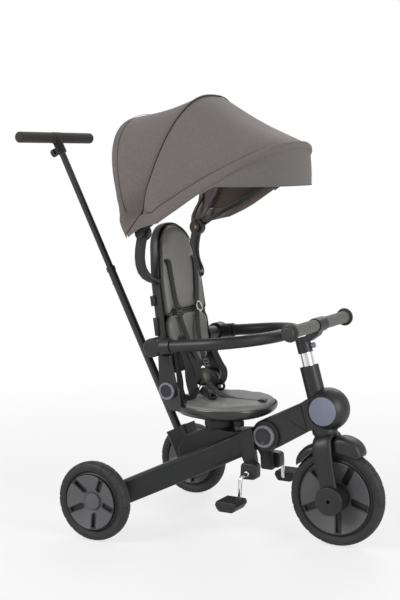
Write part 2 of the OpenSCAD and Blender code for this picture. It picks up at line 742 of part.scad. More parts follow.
// Fabric stretched between two bows
module panel(a, b, u0, u1) {
  oa = bow_line(a, 0);
  ob = bow_line(b, 0);
  ia = bow_line(a, fabric);
  ib = bow_line(b, fabric);
  us = [for (k = [0:4]) lerp(u0, u1, k / 4)];
  skin([for (i = [2:len(oa) - 3])
    concat([for (u = us) lerp(oa[i], ob[i], u)],
      [for (k = [4:-1:0]) lerp(ia[i], ib[i], us[k])])], true);
}

module canopy_panel_rear() color("#6b6664") in_frame() panel(rear_bow, mid_bow, 0, 0.992);

module canopy_panel_front() color("#6b6664") in_frame() panel(mid_bow, front_bow, 0.004, 0.985);

visor_z = 884;

module canopy_visor() color("#656060") in_frame() {
  line = bow_line(front_bow, 0);
  n = len(line);
  f = [sin(front_bow[0]), 0, -cos(front_bow[0])];
  skin([for (i = [3:n - 4])
    let (
      p = line[i],
      e = unit(cross(f, line[i + 1] - line[i - 1])),
      o = unit([p[0] - 150, p[1], 0]),
      q = p + 26 * f + e,
      low = min(visor_z, q[2] - 3)
    )
    [p + 7 * f + 2 * e, p + 10 * f + 5 * e, p + 22 * f + 5 * e, q,
      [q[0] + 5 * o[0], q[1] + 5 * o[1], low], [q[0] + 2 * o[0], q[1] + 2 * o[1], low],
      p + 25 * f - 3 * e, p + 7 * f - 4 * e]], true);
}

// ---- harness ----

module strap(path, w, side) {
  sweep(path, [[-w / 2, -1.1], [w / 2, -1.1], [w / 2, 1.1], [-w / 2, 1.1]], side);
}

module harness() color("#1f2022") in_frame() {
  both() {
    strap([on_back(44, 274, 7.2), on_back(43, 240, 7.4), on_back(40, 200, 7.8),
      on_back(37, 175, 9.4), on_back(35, 155, 11), on_back(33, 138, 12), on_back(29, 105, 14), on_back(22, 60, 21), on_back(15, 20, 29), on_back(10, -4, 33)], 20,
      [0, 1, 0]);
    strap([on_back(86, 2, 12), on_back(70, 4, 14), on_back(52, -2, 20), on_back(36, -12, 26),
      on_back(21.5, -22, 30)], 20, [0, 0, 1]);
  }
  strap([[338, 0, 347], [300, 0, 347.2], [262, 0, 347.4], [232, 0, 350], [208, 0, 358],
    [190, 0, 371]], 24, [0, 1, 0]);
}

module in_buckle() {
  in_frame() translate([168, 0, 388]) rotate([0, 62, 0]) children();
}

module buckle() color("#3a3a38") in_buckle() difference() {
  skin([for (k = [[-7, 4], [-6, 1.2], [-4, 0], [3, 0], [5.5, 1.4], [6.4, 4]])
    [for (p = oval(17 - k[1], 20 - k[1], 32, 2.4)) [p[0], p[1], k[0]]]]);
  cylinder(h = 20, r = 9.6 + fit);
}

module buckle_button() color("#77776b") in_buckle() translate([0, 0, 2.6])
  cylinder(h = 4.2, r = 9.6);

// ---- push bar ----

module push_tube_outer() color("#232426") in_push() {
  difference() {
    union() {
      translate([0, 0, -60]) cylinder(h = push_joint + 60, r = push_outer_r);
      translate([0, 0, push_joint - 12]) cylinder(h = 12, r = push_outer_r + 1.4);
    }
    translate([0, 0, -61]) cylinder(h = push_joint + 80, r = 9 + fit);
    for (z = [385, 355]) translate([-20, 0, z]) rotate([0, 90, 0]) cylinder(h = 18, r = 3);
  }
  translate([-12.6, 0, 418]) rotate([0, 90, 0]) cylinder(h = 3, r = 3.2);
}

module push_tube_inner() color("#1d1e20") in_push() difference() {
  translate([0, 0, 320]) cylinder(h = push_length - 334, r = 9);
  translate([0, 0, 310]) cylinder(h = push_length - 330, r = 7.4);
}

module push_handle() color("#322b28") in_push() difference() {
  union() {
    spin([0, push_length], concat([[0, -handle_half], [10, -handle_half],
      [handle_r - 1.5, -handle_half + 1.5], [handle_r, -handle_half + 4], [handle_r, -17],
      [handle_r + 0.7, -17], [handle_r + 0.7, 17], [handle_r, 17]],
      [[handle_r, handle_half - 4], [handle_r - 1.5, handle_half - 1.5], [10, handle_half],
      [0, handle_half]]));
    translate([0, 0, push_length - 45]) cylinder(h = 45, r = 13);
    translate([0, 0, push_length - 34]) rotate([0, -90, 0]) cylinder(h = 17, r = 5.5);
  }
  translate([0, 0, push_length - 60]) cylinder(h = 46.1, r = 9);
  translate([0, 0, push_length - 34]) rotate([0, -90, 0]) cylinder(h = 30, r = 3 + fit);
}

module push_knob() color("#2b2b2c") in_push() translate([0, 0, push_length - 34])
  rotate([0, -90, 0]) {
    translate([0, 0, 9.3]) cylinder(h = 9, r = 3);
    translate([0, 0, 17.3]) difference() {
      cylinder(h = 11, r = 11);
      for (a = [0:45:315]) rotate([0, 0, a]) translate([12.6, 0, -1]) cylinder(h = 13, r = 2.6);
    }
  }

main_body();
arm_left();
arm_right();
rear_axle();
pedal_sockets();
pivot_pin();
pivot_rings();
fold_button_left();
fold_button_right();
swivel_knob();
front_beam();
head_shell();
head_caps();
head_bearings();
fork();
mudguard();
steering_post();
fork_caps();
front_axle();
front_tyre();
front_rim();
front_covers();
stem_clamp();
clamp_knob();
handlebar_tube();
handlebar_foam();
bar_end_caps();
seat_turntable();
seat_pan();
seat_pad();
back_legs();
back_rings();
back_shell();
back_pad_upper();
back_pad_lower();
bumper_elbows();
bumper_bar();
canopy_uprights();
canopy_bow_rear();
canopy_bow_mid();
canopy_bow_front();
canopy_panel_rear();
canopy_panel_front();
canopy_visor();
harness();
buckle();
buckle_button();
push_tube_outer();
push_tube_inner();
push_handle();
push_knob();
rear_tyre_left();
rear_tyre_right();
rear_rim_left();
rear_rim_right();
rear_cover_left();
rear_cover_right();
pedal_cranks();
pedal_left();
pedal_right();
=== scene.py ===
import json
import math

import bmesh
import bpy
from mathutils import Matrix, Vector

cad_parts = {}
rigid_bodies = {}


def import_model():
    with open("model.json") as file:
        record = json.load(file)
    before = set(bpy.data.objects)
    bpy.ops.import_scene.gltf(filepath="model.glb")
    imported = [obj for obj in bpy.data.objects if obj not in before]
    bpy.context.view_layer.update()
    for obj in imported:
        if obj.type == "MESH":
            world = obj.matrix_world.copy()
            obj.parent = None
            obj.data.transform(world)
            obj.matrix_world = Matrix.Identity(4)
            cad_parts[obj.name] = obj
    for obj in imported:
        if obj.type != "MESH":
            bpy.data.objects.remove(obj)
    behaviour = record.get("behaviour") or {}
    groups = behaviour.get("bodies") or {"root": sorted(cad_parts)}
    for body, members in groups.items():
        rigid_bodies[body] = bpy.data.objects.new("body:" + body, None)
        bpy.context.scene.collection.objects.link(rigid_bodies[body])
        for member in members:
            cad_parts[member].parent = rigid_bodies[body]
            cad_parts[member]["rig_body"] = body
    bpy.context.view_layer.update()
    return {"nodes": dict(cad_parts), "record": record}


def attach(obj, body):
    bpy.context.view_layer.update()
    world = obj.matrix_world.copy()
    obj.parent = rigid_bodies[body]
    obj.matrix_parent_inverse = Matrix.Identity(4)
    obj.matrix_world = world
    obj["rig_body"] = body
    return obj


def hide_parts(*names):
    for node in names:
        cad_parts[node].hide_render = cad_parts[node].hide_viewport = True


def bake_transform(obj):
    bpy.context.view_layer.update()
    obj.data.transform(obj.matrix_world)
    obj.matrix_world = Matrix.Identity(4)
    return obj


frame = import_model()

REAR = -0.186  # from the rear axle to the row frame's origin along X


def at(x, y, z):
    """Millimetres counted from the rear axle, as a point in the row frame."""
    return Vector((x / 1000 + REAR, y / 1000, z / 1000))


# ---------------------------------------------------------------- materials

def shader(name, colour, rough, metal=0.0, **sockets):
    """A material with one Principled shader; returns both."""
    material = bpy.data.materials.new(name)
    material.use_nodes = True
    principled = material.node_tree.nodes["Principled BSDF"]
    principled.inputs["Base Color"].default_value = (*colour, 1)
    principled.inputs["Roughness"].default_value = rough
    principled.inputs["Metallic"].default_value = metal
    for socket, value in sockets.items():
        principled.inputs[socket.replace("_", " ")].default_value = value
    return material, principled


def node(owner, kind, links=(), **values):
    """A new shader node: links are (input, output socket) pairs, values set inputs or settings."""
    made = owner.node_tree.nodes.new("ShaderNode" + kind)
    for key, value in values.items():
        plain = key.replace("_", " ")
        if plain in made.inputs:
            made.inputs[plain].default_value = value
        else:
            setattr(made, key, value)
    for key, output in links:
        owner.node_tree.links.new(output, made.inputs[key])
    return made


def link(owner, output, socket):
    owner.node_tree.links.new(output, socket)


def arithmetic(owner, operation, *terms):
    """Result of a Math node; each term is a number or an output socket."""
    made = node(owner, "Math", operation=operation)
    for place, term in enumerate(terms):
        if isinstance(term, float):
            made.inputs[place].default_value = term
        else:
            link(owner, term, made.inputs[place])
    return made.outputs["Value"]


def object_coordinates(material, scale=None):
    coordinates = node(material, "TexCoord").outputs["Object"]
    if scale is None:
        return coordinates
    return node(material, "Mapping", [("Vector", coordinates)], Scale=scale).outputs["Vector"]


def noise(material, where, scale, detail):
    return node(material, "TexNoise", [("Vector", where)], Scale=scale, Detail=detail).outputs["Fac"]


def two_tone(material, amount, low, low_colour, high, high_colour):
    """Colour that runs from one tone at low to the other at high."""
    ramp = node(material, "ValToRGB", [("Fac", amount)])
    for stop, position, colour in zip(ramp.color_ramp.elements, (low, high), (low_colour, high_colour)):
        stop.position = position
        stop.color = (*colour, 1)
    return ramp.outputs["Color"]


def speckled(material, principled, colour, spread, scale, where):
    """Base colour that drifts a little lighter and darker."""
    tone = two_tone(material, noise(material, where, scale, 3.0), 0.3, [c * (1 - spread) for c in colour],
                    0.7, [c * (1 + spread) for c in colour])
    link(material, tone, principled.inputs["Base Color"])


def uneven(material, principled, where, scale, detail, low, high):
    """Roughness that drifts between low and high."""
    worn = noise(material, where, scale, detail)
    spread = node(material, "MapRange", [("Value", worn)], To_Min=low, To_Max=high)
    link(material, spread.outputs["Result"], principled.inputs["Roughness"])


def relief(material, height, strength, distance, under=None):
    """Normals of a bump, laid over another one where under is given."""
    links = [("Height", height)] + ([("Normal", under)] if under else [])
    return node(material, "Bump", links, Strength=strength, Distance=distance).outputs["Normal"]


def grained(material, principled, where, scale, strength):
    """Fine moulded grain."""
    grain = relief(material, noise(material, where, scale, 2.0), strength, 0.0004)
    link(material, grain, principled.inputs["Normal"])


def cells(material, where, scale):
    return node(material, "TexVoronoi", [("Vector", where)], Scale=scale).outputs["Distance"]


def threads(material, uv, scale, distortion, direction="X"):
    """Parallel ribs across one direction of the UV map."""
    return node(material, "TexWave", [("Vector", uv)], Scale=scale, Distortion=distortion,
                bands_direction=direction).outputs["Fac"]


def moulded_plastic(name, colour, rough, grain=0.25, scale=900.0, coat=0.0):
    material, principled = shader(name, colour, rough, Coat_Weight=coat)
    where = object_coordinates(material)
    speckled(material, principled, colour, 0.12, 14.0, where)
    uneven(material, principled, where, 22.0, 5.0, max(rough - 0.07, 0.02), min(rough + 0.07, 1))
    grained(material, principled, where, scale, grain)
    return material


def bright_metal(name, colour, rough, brushed=None):
    material, principled = shader(name, colour, rough, 1.0)
    where = object_coordinates(material, brushed)
    uneven(material, principled, where, 240.0, 3.0, rough * 0.6, rough * 1.5)
    speckled(material, principled, colour, 0.05, 30.0, where)
    return material


def foam(name, colour):
    material, principled = shader(name, colour, 0.85, Sheen_Weight=0.15)
    where = object_coordinates(material)
    speckled(material, principled, colour, 0.18, 160.0, where)
    link(material, relief(material, cells(material, where, 1100.0), 0.5, 0.0005),
         principled.inputs["Normal"])
    return material


def tyre_rubber(name, colour):
    material, principled = shader(name, colour, 0.58)
    where = object_coordinates(material)
    speckled(material, principled, colour, 0.2, 40.0, where)
    grained(material, principled, where, 700.0, 0.3)
    return material


def woven(name, colour, second, count):
    """Plain weave of two yarn tones on the cloth's own UV map, with soft sheen."""
    material, principled = shader(name, colour, 0.92, Sheen_Weight=0.25, Sheen_Roughness=0.5)
    uv = node(material, "UVMap").outputs["UV"]
    where = object_coordinates(material)
    heather = arithmetic(material, "MULTIPLY_ADD", noise(material, where, 420.0, 2.0), 1.5, -0.25)
    drift = node(material, "MapRange", [("Value", noise(material, where, 5.0, 2.0))],
                 To_Min=0.93, To_Max=1.07)
    shade = node(material, "HueSaturation",
                 [("Color", two_tone(material, heather, 0.3, second, 0.72, colour)),
                  ("Value", drift.outputs["Result"])])
    link(material, shade.outputs["Color"], principled.inputs["Base Color"])
    cross = arithmetic(material, "MULTIPLY", threads(material, uv, count, 0.6),
                       threads(material, uv, count, 0.6, "Y"))
    folds = relief(material, noise(material, where, 9.0, 2.0), 0.35, 0.004)
    link(material, relief(material, cross, 0.35, 0.0003, folds), principled.inputs["Normal"])
    return material


def leatherette(name, colour, rough):
    """Soft coated cloth with a fine pebble grain."""
    material, principled = shader(name, colour, rough)
    where = object_coordinates(material)
    speckled(material, principled, colour, 0.08, 12.0, where)
    uneven(material, principled, where, 18.0, 4.0, rough - 0.06, rough + 0.08)
    creases = relief(material, noise(material, where, 16.0, 2.0), 0.3, 0.003)
    link(material, relief(material, cells(material, where, 800.0), 0.25, 0.0003, creases),
         principled.inputs["Normal"])
    return material


def ribbed_webbing(name, colour):
    """Woven strap: ribs along its length and a fine cross weave, on its UV map."""
    material, principled = shader(name, colour, 0.62, Sheen_Weight=0.05, Sheen_Roughness=0.4)
    uv = node(material, "UVMap").outputs["UV"]
    speckled(material, principled, colour, 0.3, 300.0, object_coordinates(material))
    weave = arithmetic(material, "ADD", threads(material, uv, 160.0, 0.3),
                       threads(material, uv, 260.0, 0.6, "Y"))
    link(material, relief(material, weave, 0.5, 0.0004), principled.inputs["Normal"])
    return material


BLACK = moulded_plastic("black_plastic", (0.013, 0.013, 0.0145), 0.42)
PAINT = moulded_plastic("black_paint", (0.0085, 0.009, 0.0105), 0.36, 0.12, 500.0)
FINISHES = {
    "tyre": tyre_rubber("tyre_rubber", (0.019, 0.019, 0.02)),
    "rim_black": moulded_plastic("rim_plastic", (0.011, 0.011, 0.012), 0.45),
    "cover_grey": moulded_plastic("wheel_cover_grey", (0.092, 0.093, 0.097), 0.42, 0.15),
    "frame_black": BLACK,
    "frame_paint": PAINT,
    "steel": bright_metal("plain_steel", (0.55, 0.55, 0.55), 0.3),
    "chrome": bright_metal("polished_chrome", (0.8, 0.79, 0.77), 0.08),
    "post": bright_metal("silver_post", (0.86, 0.86, 0.86), 0.22, (1, 1, 0.05)),
    "ring_grey": moulded_plastic("ring_grey", (0.17, 0.17, 0.19), 0.4, 0.12),
    "button_black": moulded_plastic("button_black", (0.016, 0.016, 0.017), 0.3, 0.1),
    "disc_blue": moulded_plastic("head_disc_blue_grey", (0.17, 0.19, 0.25), 0.36, 0.12),
    "knob_lilac": moulded_plastic("knob_lilac", (0.2, 0.19, 0.25), 0.5),
    "foam_grey": foam("grip_foam_grey", (0.12, 0.12, 0.108)),
    "end_cap": moulded_plastic("end_cap_plastic", (0.03, 0.03, 0.029), 0.5),
    "foam_brown": foam("push_handle_foam", (0.026, 0.021, 0.018)),
    "pan": moulded_plastic("seat_pan_gloss", (0.017, 0.0175, 0.019), 0.3, 0.06, 500.0, 0.3),
    "pad": leatherette("pad_leatherette", (0.18, 0.176, 0.168), 0.42),
    "canopy": woven("canopy_cloth", (0.165, 0.142, 0.134), (0.125, 0.106, 0.1), 620.0),
    "bow": moulded_plastic("bow_plastic", (0.012, 0.012, 0.012), 0.5),
    "webbing": ribbed_webbing("black_webbing", (0.008, 0.008, 0.0088)),
    "buckle": moulded_plastic("buckle_plastic", (0.03, 0.03, 0.029), 0.4),
    "button_olive": moulded_plastic("button_olive", (0.16, 0.16, 0.13), 0.45),
    "knob_olive": moulded_plastic("knob_olive", (0.09, 0.09, 0.075), 0.5),
    "tube": moulded_plastic("push_tube_black", (0.017, 0.017, 0.018), 0.25, 0.05, 400.0, 0.3),
    "lining": woven("canopy_lining_cloth", (0.052, 0.038, 0.03), (0.075, 0.056, 0.045), 700.0),
    "visor": woven("visor_cloth", (0.155, 0.142, 0.134), (0.115, 0.105, 0.1), 620.0),
    # Dark seam thread; the same colour also paints the shade in the groove beside the mid seam
    "thread": moulded_plastic("seam_thread_and_painted_groove_shade", (0.02, 0.018, 0.017), 0.9),
    "pad_edge": moulded_plastic("pad_piping", (0.07, 0.068, 0.064), 0.5),
    "brass": bright_metal("brass_screw", (0.32, 0.2, 0.08), 0.4),
    "gloss_black": moulded_plastic("gloss_black_hook", (0.01, 0.01, 0.011), 0.12, 0.03),
}

SLOTS = {row["node"]: row["material_slot"] for row in frame["record"]["subparts"]}
for name, cad in frame["nodes"].items():
    cad.data.materials.clear()
    cad.data.materials.append(FINISHES[SLOTS[name]])

# ---------------------------------------------------------------- camera, light and floor

camera = bpy.data.objects.new("camera", bpy.data.cameras.new("camera"))
bpy.context.scene.collection.objects.link(camera)
camera.location = (1.522, -2.803, 0.962)
DOWN, ROUND = 6.67, 28.9  # the camera's tilt and its turn from the side, in degrees
camera.rotation_euler = (math.radians(90 - DOWN), 0, math.radians(ROUND))
camera.data.sensor_width = 36
camera.data.lens = 75.3
bpy.context.scene.camera = camera


def area_light(name, place, height, size, power):
    """Rectangular lamp that looks at the tricycle's middle, at a height."""
    lamp = bpy.data.lights.new(name, "AREA")
    lamp.shape = "RECTANGLE"
    lamp.size, lamp.size_y = size
    lamp.energy = power
    made = bpy.data.objects.new(name, lamp)
    made.location = place
    made.rotation_euler = (Vector((0, 0, height)) - Vector(place)).to_track_quat("-Z", "Y").to_euler()
    bpy.context.scene.collection.objects.link(made)


area_light("key_light", (-1.5, -2.6, 2.3), 0.6, (1.4, 1.4), 64)
area_light("fill_light", (3.1, -0.7, 1.5), 0.5, (1.4, 2.4), 52)
area_light("back_light", (-0.6, 2.8, 2.6), 0.6, (2.4, 1.4), 30)

MIRRORED = 0.4  # share of the white surroundings that gloss shows

world = bpy.data.worlds.new("studio")
bpy.context.scene.world = world
world.use_nodes = True
world.node_tree.nodes.clear()
rays = node(world, "LightPath").outputs
seen = arithmetic(world, "MULTIPLY_ADD", rays["Is Glossy Ray"], MIRRORED, rays["Is Transmission Ray"])
seen = arithmetic(world, "MAXIMUM", rays["Is Camera Ray"], seen)
soft = node(world, "Background", Color=(1, 1, 1, 1), Strength=0.36)
white = node(world, "Background", Color=(1, 1, 1, 1), Strength=1.0)
mix = node(world, "MixShader", [("Fac", seen), (1, soft.outputs[0]), (2, white.outputs[0])])
node(world, "OutputWorld", [("Surface", mix.outputs[0])])

ground = bmesh.new()
bmesh.ops.create_grid(ground, x_segments=1, y_segments=1, size=30)
floor_mesh = bpy.data.meshes.new("floor")
ground.to_mesh(floor_mesh)
floor = bpy.data.objects.new("floor", floor_mesh)
bpy.context.scene.collection.objects.link(floor)
floor_finish, matt = shader("floor_white", (0.86, 0.86, 0.86), 0.5)
rays = node(floor_finish, "LightPath").outputs
away = node(floor_finish, "VectorMath", [(0, object_coordinates(floor_finish))], operation="LENGTH")
fade = node(floor_finish, "MapRange", [("Value", away.outputs["Value"])], interpolation_type="SMOOTHSTEP",
            From_Min=0.5, From_Max=2.4, To_Min=0.7, To_Max=1.0)
seen = arithmetic(floor_finish, "MULTIPLY_ADD", rays["Is Glossy Ray"], MIRRORED, rays["Is Camera Ray"])
seen = arithmetic(floor_finish, "MULTIPLY", seen, fade.outputs["Result"])
glow = node(floor_finish, "Emission", Strength=1.0)
mix = node(floor_finish, "MixShader", [("Fac", seen), (1, matt.outputs[0]), (2, glow.outputs[0])])
link(floor_finish, mix.outputs[0], floor_finish.node_tree.nodes["Material Output"].inputs["Surface"])
floor_mesh.materials.append(floor_finish)

bpy.context.scene.view_settings.view_transform = "Standard"

# ---------------------------------------------------------------- making shapes

RAKE = 15.93  # backward lean of the steering axis, in degrees
LEAN = math.radians(8.5)  # backward lean of the backrest
FOOT = (137, 417)  # x and z of the backrest's foot
RECLINE = (124.5, 0, 485)  # middle of the backrest's and the bumper's pivot
FRAME = Matrix.Translation(at(0, 0, 0))
STEER = Matrix.Translation(at(559, 0, 122)) @ Matrix.Rotation(math.radians(-RAKE), 4, "Y")
BUMPER = Matrix.Translation(at(*RECLINE)) @ Matrix.Rotation(math.radians(-6.5), 4, "Y")
BUCKLE = Matrix.Translation(at(168, 0, 388)) @ Matrix.Rotation(math.radians(62), 4, "Y")
OWNER = {part: body for body, parts in frame["record"]["behaviour"]["bodies"].items()
         for part in parts}


def mm(x, y, z):
    return Vector((x / 1000, y / 1000, z / 1000))


def on_back(y, h, n):
    """A point on the backrest: y across, h up its face and n in front of it."""
    return at(FOOT[0] - h * math.sin(LEAN) + n * math.cos(LEAN), y,
              FOOT[1] + h * math.cos(LEAN) + n * math.sin(LEAN))


def table(rows, x):
    """Value at x on a line through [position, value] rows."""
    if x <= rows[0][0]:
        return rows[0][1]
    for (a, p), (b, q) in zip(rows, rows[1:]):
        if x <= b:
            return p + (q - p) * (x - a) / (b - a)
    return rows[-1][1]


def eased(rows, count):
    """Smooth curve through points, with count steps between each pair."""
    points = [Vector(row) for row in rows]
    line = []
    for i in range(len(points) - 1):
        before = points[max(i - 1, 0)]
        after = points[min(i + 2, len(points) - 1)]
        a, b = points[i], points[i + 1]
        for k in range(count):
            t = k / count
            line.append(0.5 * (2 * a + (b - before) * t + (2 * before - 5 * a + 4 * b - after) * t * t
                               + (3 * a - before - 3 * b + after) * t ** 3))
    line.append(points[-1])
    return line


def oval(across, up, count, power=2.0):
    """Points of a rounded rectangle, from a circle at power 2 to nearly square."""
    points = []
    for i in range(count):
        c, s = math.cos(2 * math.pi * i / count), math.sin(2 * math.pi * i / count)
        points.append((across * math.copysign(abs(c) ** (2 / power), c),
                       up * math.copysign(abs(s) ** (2 / power), s)))
    return points


def rounded(corners, steps=5):
    """Outline with rounded corners from [x, z, radius] rows."""
    points = []
    count = len(corners)
    for i, (x, z, r) in enumerate(corners):
        b = Vector((x, z))
        u = (Vector(corners[i - 1][:2]) - b).normalized()
        v = (Vector(corners[(i + 1) % count][:2]) - b).normalized()
        half = math.acos(max(-1, min(1, u.dot(v)))) / 2
        middle = b + (u + v).normalized() * r / math.sin(half)
        p, q = b + u * r / math.tan(half) - middle, b + v * r / math.tan(half) - middle
        start = math.atan2(p.y, p.x)
        sweep = (math.atan2(q.y, q.x) - start + math.pi) % (2 * math.pi) - math.pi
        points += [middle + r * Vector((math.cos(start + sweep * k / steps),
                                        math.sin(start + sweep * k / steps)))
                   for k in range(steps + 1)]
    return points


def drawn(rings, closed=True, uv=False):
    """Skin drawn out from one ring of points to the next and capped; an open ring gives a sheet."""
    shape = bmesh.new()
    ring = [shape.verts.new(p) for p in rings[0]]
    count = len(ring)
    edges = [shape.edges.new((ring[i], ring[(i + 1) % count]))
             for i in range(count if closed else count - 1)]
    first_edges = list(edges)
    place = {}
    along = [0.0] * count
    if uv:
        run = 0.0
        across = [0.0]
        for a, b in zip(rings[len(rings) // 2], rings[len(rings) // 2][1:]):
            run += (Vector(b) - Vector(a)).length
            across.append(run)
        for i, v in enumerate(ring):
            place[v] = (across[i], 0.0)
    for step, points in enumerate(rings[1:], 1):
        order = {v.co.to_tuple(8): i for i, v in enumerate(ring)}
        new = bmesh.ops.extrude_edge_only(shape, edges=edges)["geom"]
        fresh = {g for g in new if isinstance(g, bmesh.types.BMVert)}
        edges = [g for g in new if isinstance(g, bmesh.types.BMEdge)
                 and g.verts[0] in fresh and g.verts[1] in fresh]
        ring = sorted(fresh, key=lambda v: order[v.co.to_tuple(8)])
        for i, (v, p) in enumerate(zip(ring, points)):
            along[i] += (Vector(p) - v.co).length
            v.co = p
            if uv:
                place[v] = (across[i], sum(along) / count)
    if closed:
        bmesh.ops.contextual_create(shape, geom=first_edges)
        bmesh.ops.contextual_create(shape, geom=edges)
    if uv:
        layer = shape.loops.layers.uv.new("UVMap")
        for face in shape.faces:
            for corner in face.loops:
                corner[layer].uv = place.get(corner.vert, (0, 0))
    bmesh.ops.recalc_face_normals(shape, faces=shape.faces)
    return shape


def swept(path, section, side, sizes=None, uv=False):
    """Bar or strap along a path; the section's first number lies along side."""
    path = [Vector(p) for p in path]
    rings = []
    for i, p in enumerate(path):
        run = (path[min(i + 1, len(path) - 1)] - path[max(i - 1, 0)]).normalized()
        lean = Vector(side[i] if isinstance(side, list) else side)
        b = run.cross(lean).normalized()
        a = b.cross(run)
        k, m = sizes[i] if sizes else (1, 1)
        rings.append([p + (q[0] * a * k + q[1] * b * m) / 1000 for q in section])
    return drawn(rings, uv=uv)


def turned(profile, where, steps=72, closed=False):
    """Ring or cap of revolution from [radius, along] rows about the Z axis of where."""
    shape = bmesh.new()
    points = [shape.verts.new(mm(r, 0, h)) for r, h in profile]
    count = len(points)
    lines = [shape.edges.new((points[i], points[(i + 1) % count]))
             for i in range(count if closed else count - 1)]
    bmesh.ops.spin(shape, geom=points + lines, cent=(0, 0, 0), axis=(0, 0, 1),
                   angle=2 * math.pi, steps=steps, use_merge=True)
    bmesh.ops.remove_doubles(shape, verts=shape.verts, dist=1e-6)
    bmesh.ops.recalc_face_normals(shape, faces=shape.faces)
    bmesh.ops.transform(shape, matrix=where, verts=shape.verts)
    if where.determinant() < 0:
        bmesh.ops.reverse_faces(shape, faces=shape.faces)
    return shape


def sideways(x, y, z, base=FRAME):
    """Place of a turned piece whose axis runs across the tricycle."""
    return base @ Matrix.Translation(mm(x, y, z)) @ Matrix.Rotation(math.radians(-90), 4, "X")


def eased_out(shape, times, factor):
    """Relaxes a shape's points toward their neighbours."""
    for _ in range(times):
        bmesh.ops.smooth_vert(shape, verts=shape.verts, factor=factor, use_axis_x=True,
                              use_axis_y=True, use_axis_z=True)


def bevelled(shape, edges, width, segments):
    bmesh.ops.bevel(shape, geom=edges, offset=width / 1000, offset_type="OFFSET", segments=segments,
                    profile=0.5, affect="EDGES", material=-1, clamp_overlap=True)
    return shape


def slab(outline, y0, y1, edge, base=FRAME, segments=3):
    """Plate cut to an outline in X and Z, with rounded edges."""
    shape = bmesh.new()
    face = shape.faces.new([shape.verts.new(mm(p[0], y0, p[1])) for p in outline])
    new = bmesh.ops.extrude_face_region(shape, geom=[face])["geom"]
    bmesh.ops.translate(shape, vec=mm(0, y1 - y0, 0),
                        verts=[g for g in new if isinstance(g, bmesh.types.BMVert)])
    bmesh.ops.recalc_face_normals(shape, faces=shape.faces)
    rim = [e for e in shape.edges if abs(e.verts[0].co.y - e.verts[1].co.y) < 1e-7]
    bevelled(shape, rim, edge, segments)
    bmesh.ops.transform(shape, matrix=base, verts=shape.verts)
    return shape


def softened(shape, width, angle=32):
    """Rounds every edge sharper than angle."""
    sharp = [e for e in shape.edges
             if len(e.link_faces) == 2 and e.calc_face_angle(0) > math.radians(angle)]
    return bevelled(shape, sharp, width, 2)


def copied(part):
    """A merged copy of a frame part to finish."""
    shape = bmesh.new()
    shape.from_mesh(frame["nodes"][part].data)
    bmesh.ops.remove_doubles(shape, verts=shape.verts, dist=2e-6)
    bmesh.ops.dissolve_limit(shape, angle_limit=math.radians(0.6), use_dissolve_boundaries=False,
                             verts=shape.verts, edges=shape.edges)
    return shape


def joined(*shapes):
    """One piece with the given shapes."""
    whole = bmesh.new()
    for shape in shapes:
        mesh = bpy.data.meshes.new("scrap")
        shape.to_mesh(mesh)
        shape.free()
        whole.from_mesh(mesh)
        bpy.data.meshes.remove(mesh)
    return whole


def mirrored(shape):
    """The same piece for the other side."""
    other = shape.copy()
    bmesh.ops.scale(other, vec=(1, -1, 1), verts=other.verts)
    bmesh.ops.reverse_faces(other, faces=other.faces)
    return other


def pair(shape):
    return joined(shape, mirrored(shape))


def made(shape, name, body, finish, stands_for=(), crease=38, levels=0, even=False):
    """Turns a finished shape into a piece that rides on its body."""
    limit = math.radians(crease)
    for face in shape.faces:
        face.smooth = True
    for edge in shape.edges:
        edge.smooth = len(edge.link_faces) != 2 or edge.calc_face_angle(0) < limit
    mesh = bpy.data.meshes.new(name)
    shape.to_mesh(mesh)
    shape.free()
    mesh.materials.append(FINISHES[finish])
    piece = bpy.data.objects.new(name, mesh)
    bpy.context.scene.collection.objects.link(piece)
    if levels:
        rounder = piece.modifiers.new("rounder", "SUBSURF")
        rounder.levels = rounder.render_levels = levels
    if even:
        piece.modifiers.new("even_shading", "WEIGHTED_NORMAL").keep_sharp = True
    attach(piece, body)
    if stands_for:
        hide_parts(*([stands_for] if isinstance(stands_for, str) else stands_for))
    return piece


def finished(part, width, crease=50):
    """A frame part with its moulded edges rounded."""
    shape = copied(part)
    if width:
        softened(shape, width)
    made(joined(shape), part + "_finished", OWNER[part], SLOTS[part], part, crease=crease, even=True)


def finished_all(**widths):
    """Frame parts with their moulded edges rounded, each by its width in mm."""
    for part, width in widths.items():
        finished(part, width)


# ---------------------------------------------------------------- wheels

def tyre(part, x, y, z, r, body):
    """Tyre of radius r with its tread blocks let in around both shoulders."""
    half = [(r - 26, 12.4), (r - 23.6, 14.4), (r - 22.2, 16.2), (r - 20.8, 16.4), (r - 19.8, 15.3),
            (r - 18.6, 15.6), (r - 16.6, 16.6), (r - 12.5, 17), (r - 8.6, 16.8), (r - 5.2, 15.6),
            (r - 2.7, 13.2), (r - 1.3, 10), (r - 0.5, 6.4), (r - 1.4, 5.4), (r - 1.4, 4.2),
            (r - 0.2, 3.2), (r, 1.2)]
    profile = [(a, -b) for a, b in half] + [(a, b) for a, b in reversed(half)]
    steps = 120
    shape = turned(profile, Matrix(), steps)
    blocks = []
    for face in shape.faces:
        middle = face.calc_center_median()
        turn = math.atan2(middle.y, middle.x) / (2 * math.pi) * steps
        lead = 1.5 if middle.z > 0 else 0
        radius = math.hypot(middle.x, middle.y) * 1000
        if r - 9.5 < radius and 6.6 < abs(middle.z * 1000) < 16.9 and (round(turn - 0.5) + lead) % 6 < 1:
            blocks.append(face)
    bmesh.ops.inset_region(shape, faces=blocks, thickness=0.0006, depth=-0.0011,
                           use_even_offset=True)
    bmesh.ops.transform(shape, matrix=sideways(x, y, z), verts=shape.verts)
    return made(shape, part + "_moulded", body, "tyre", part, crease=45)


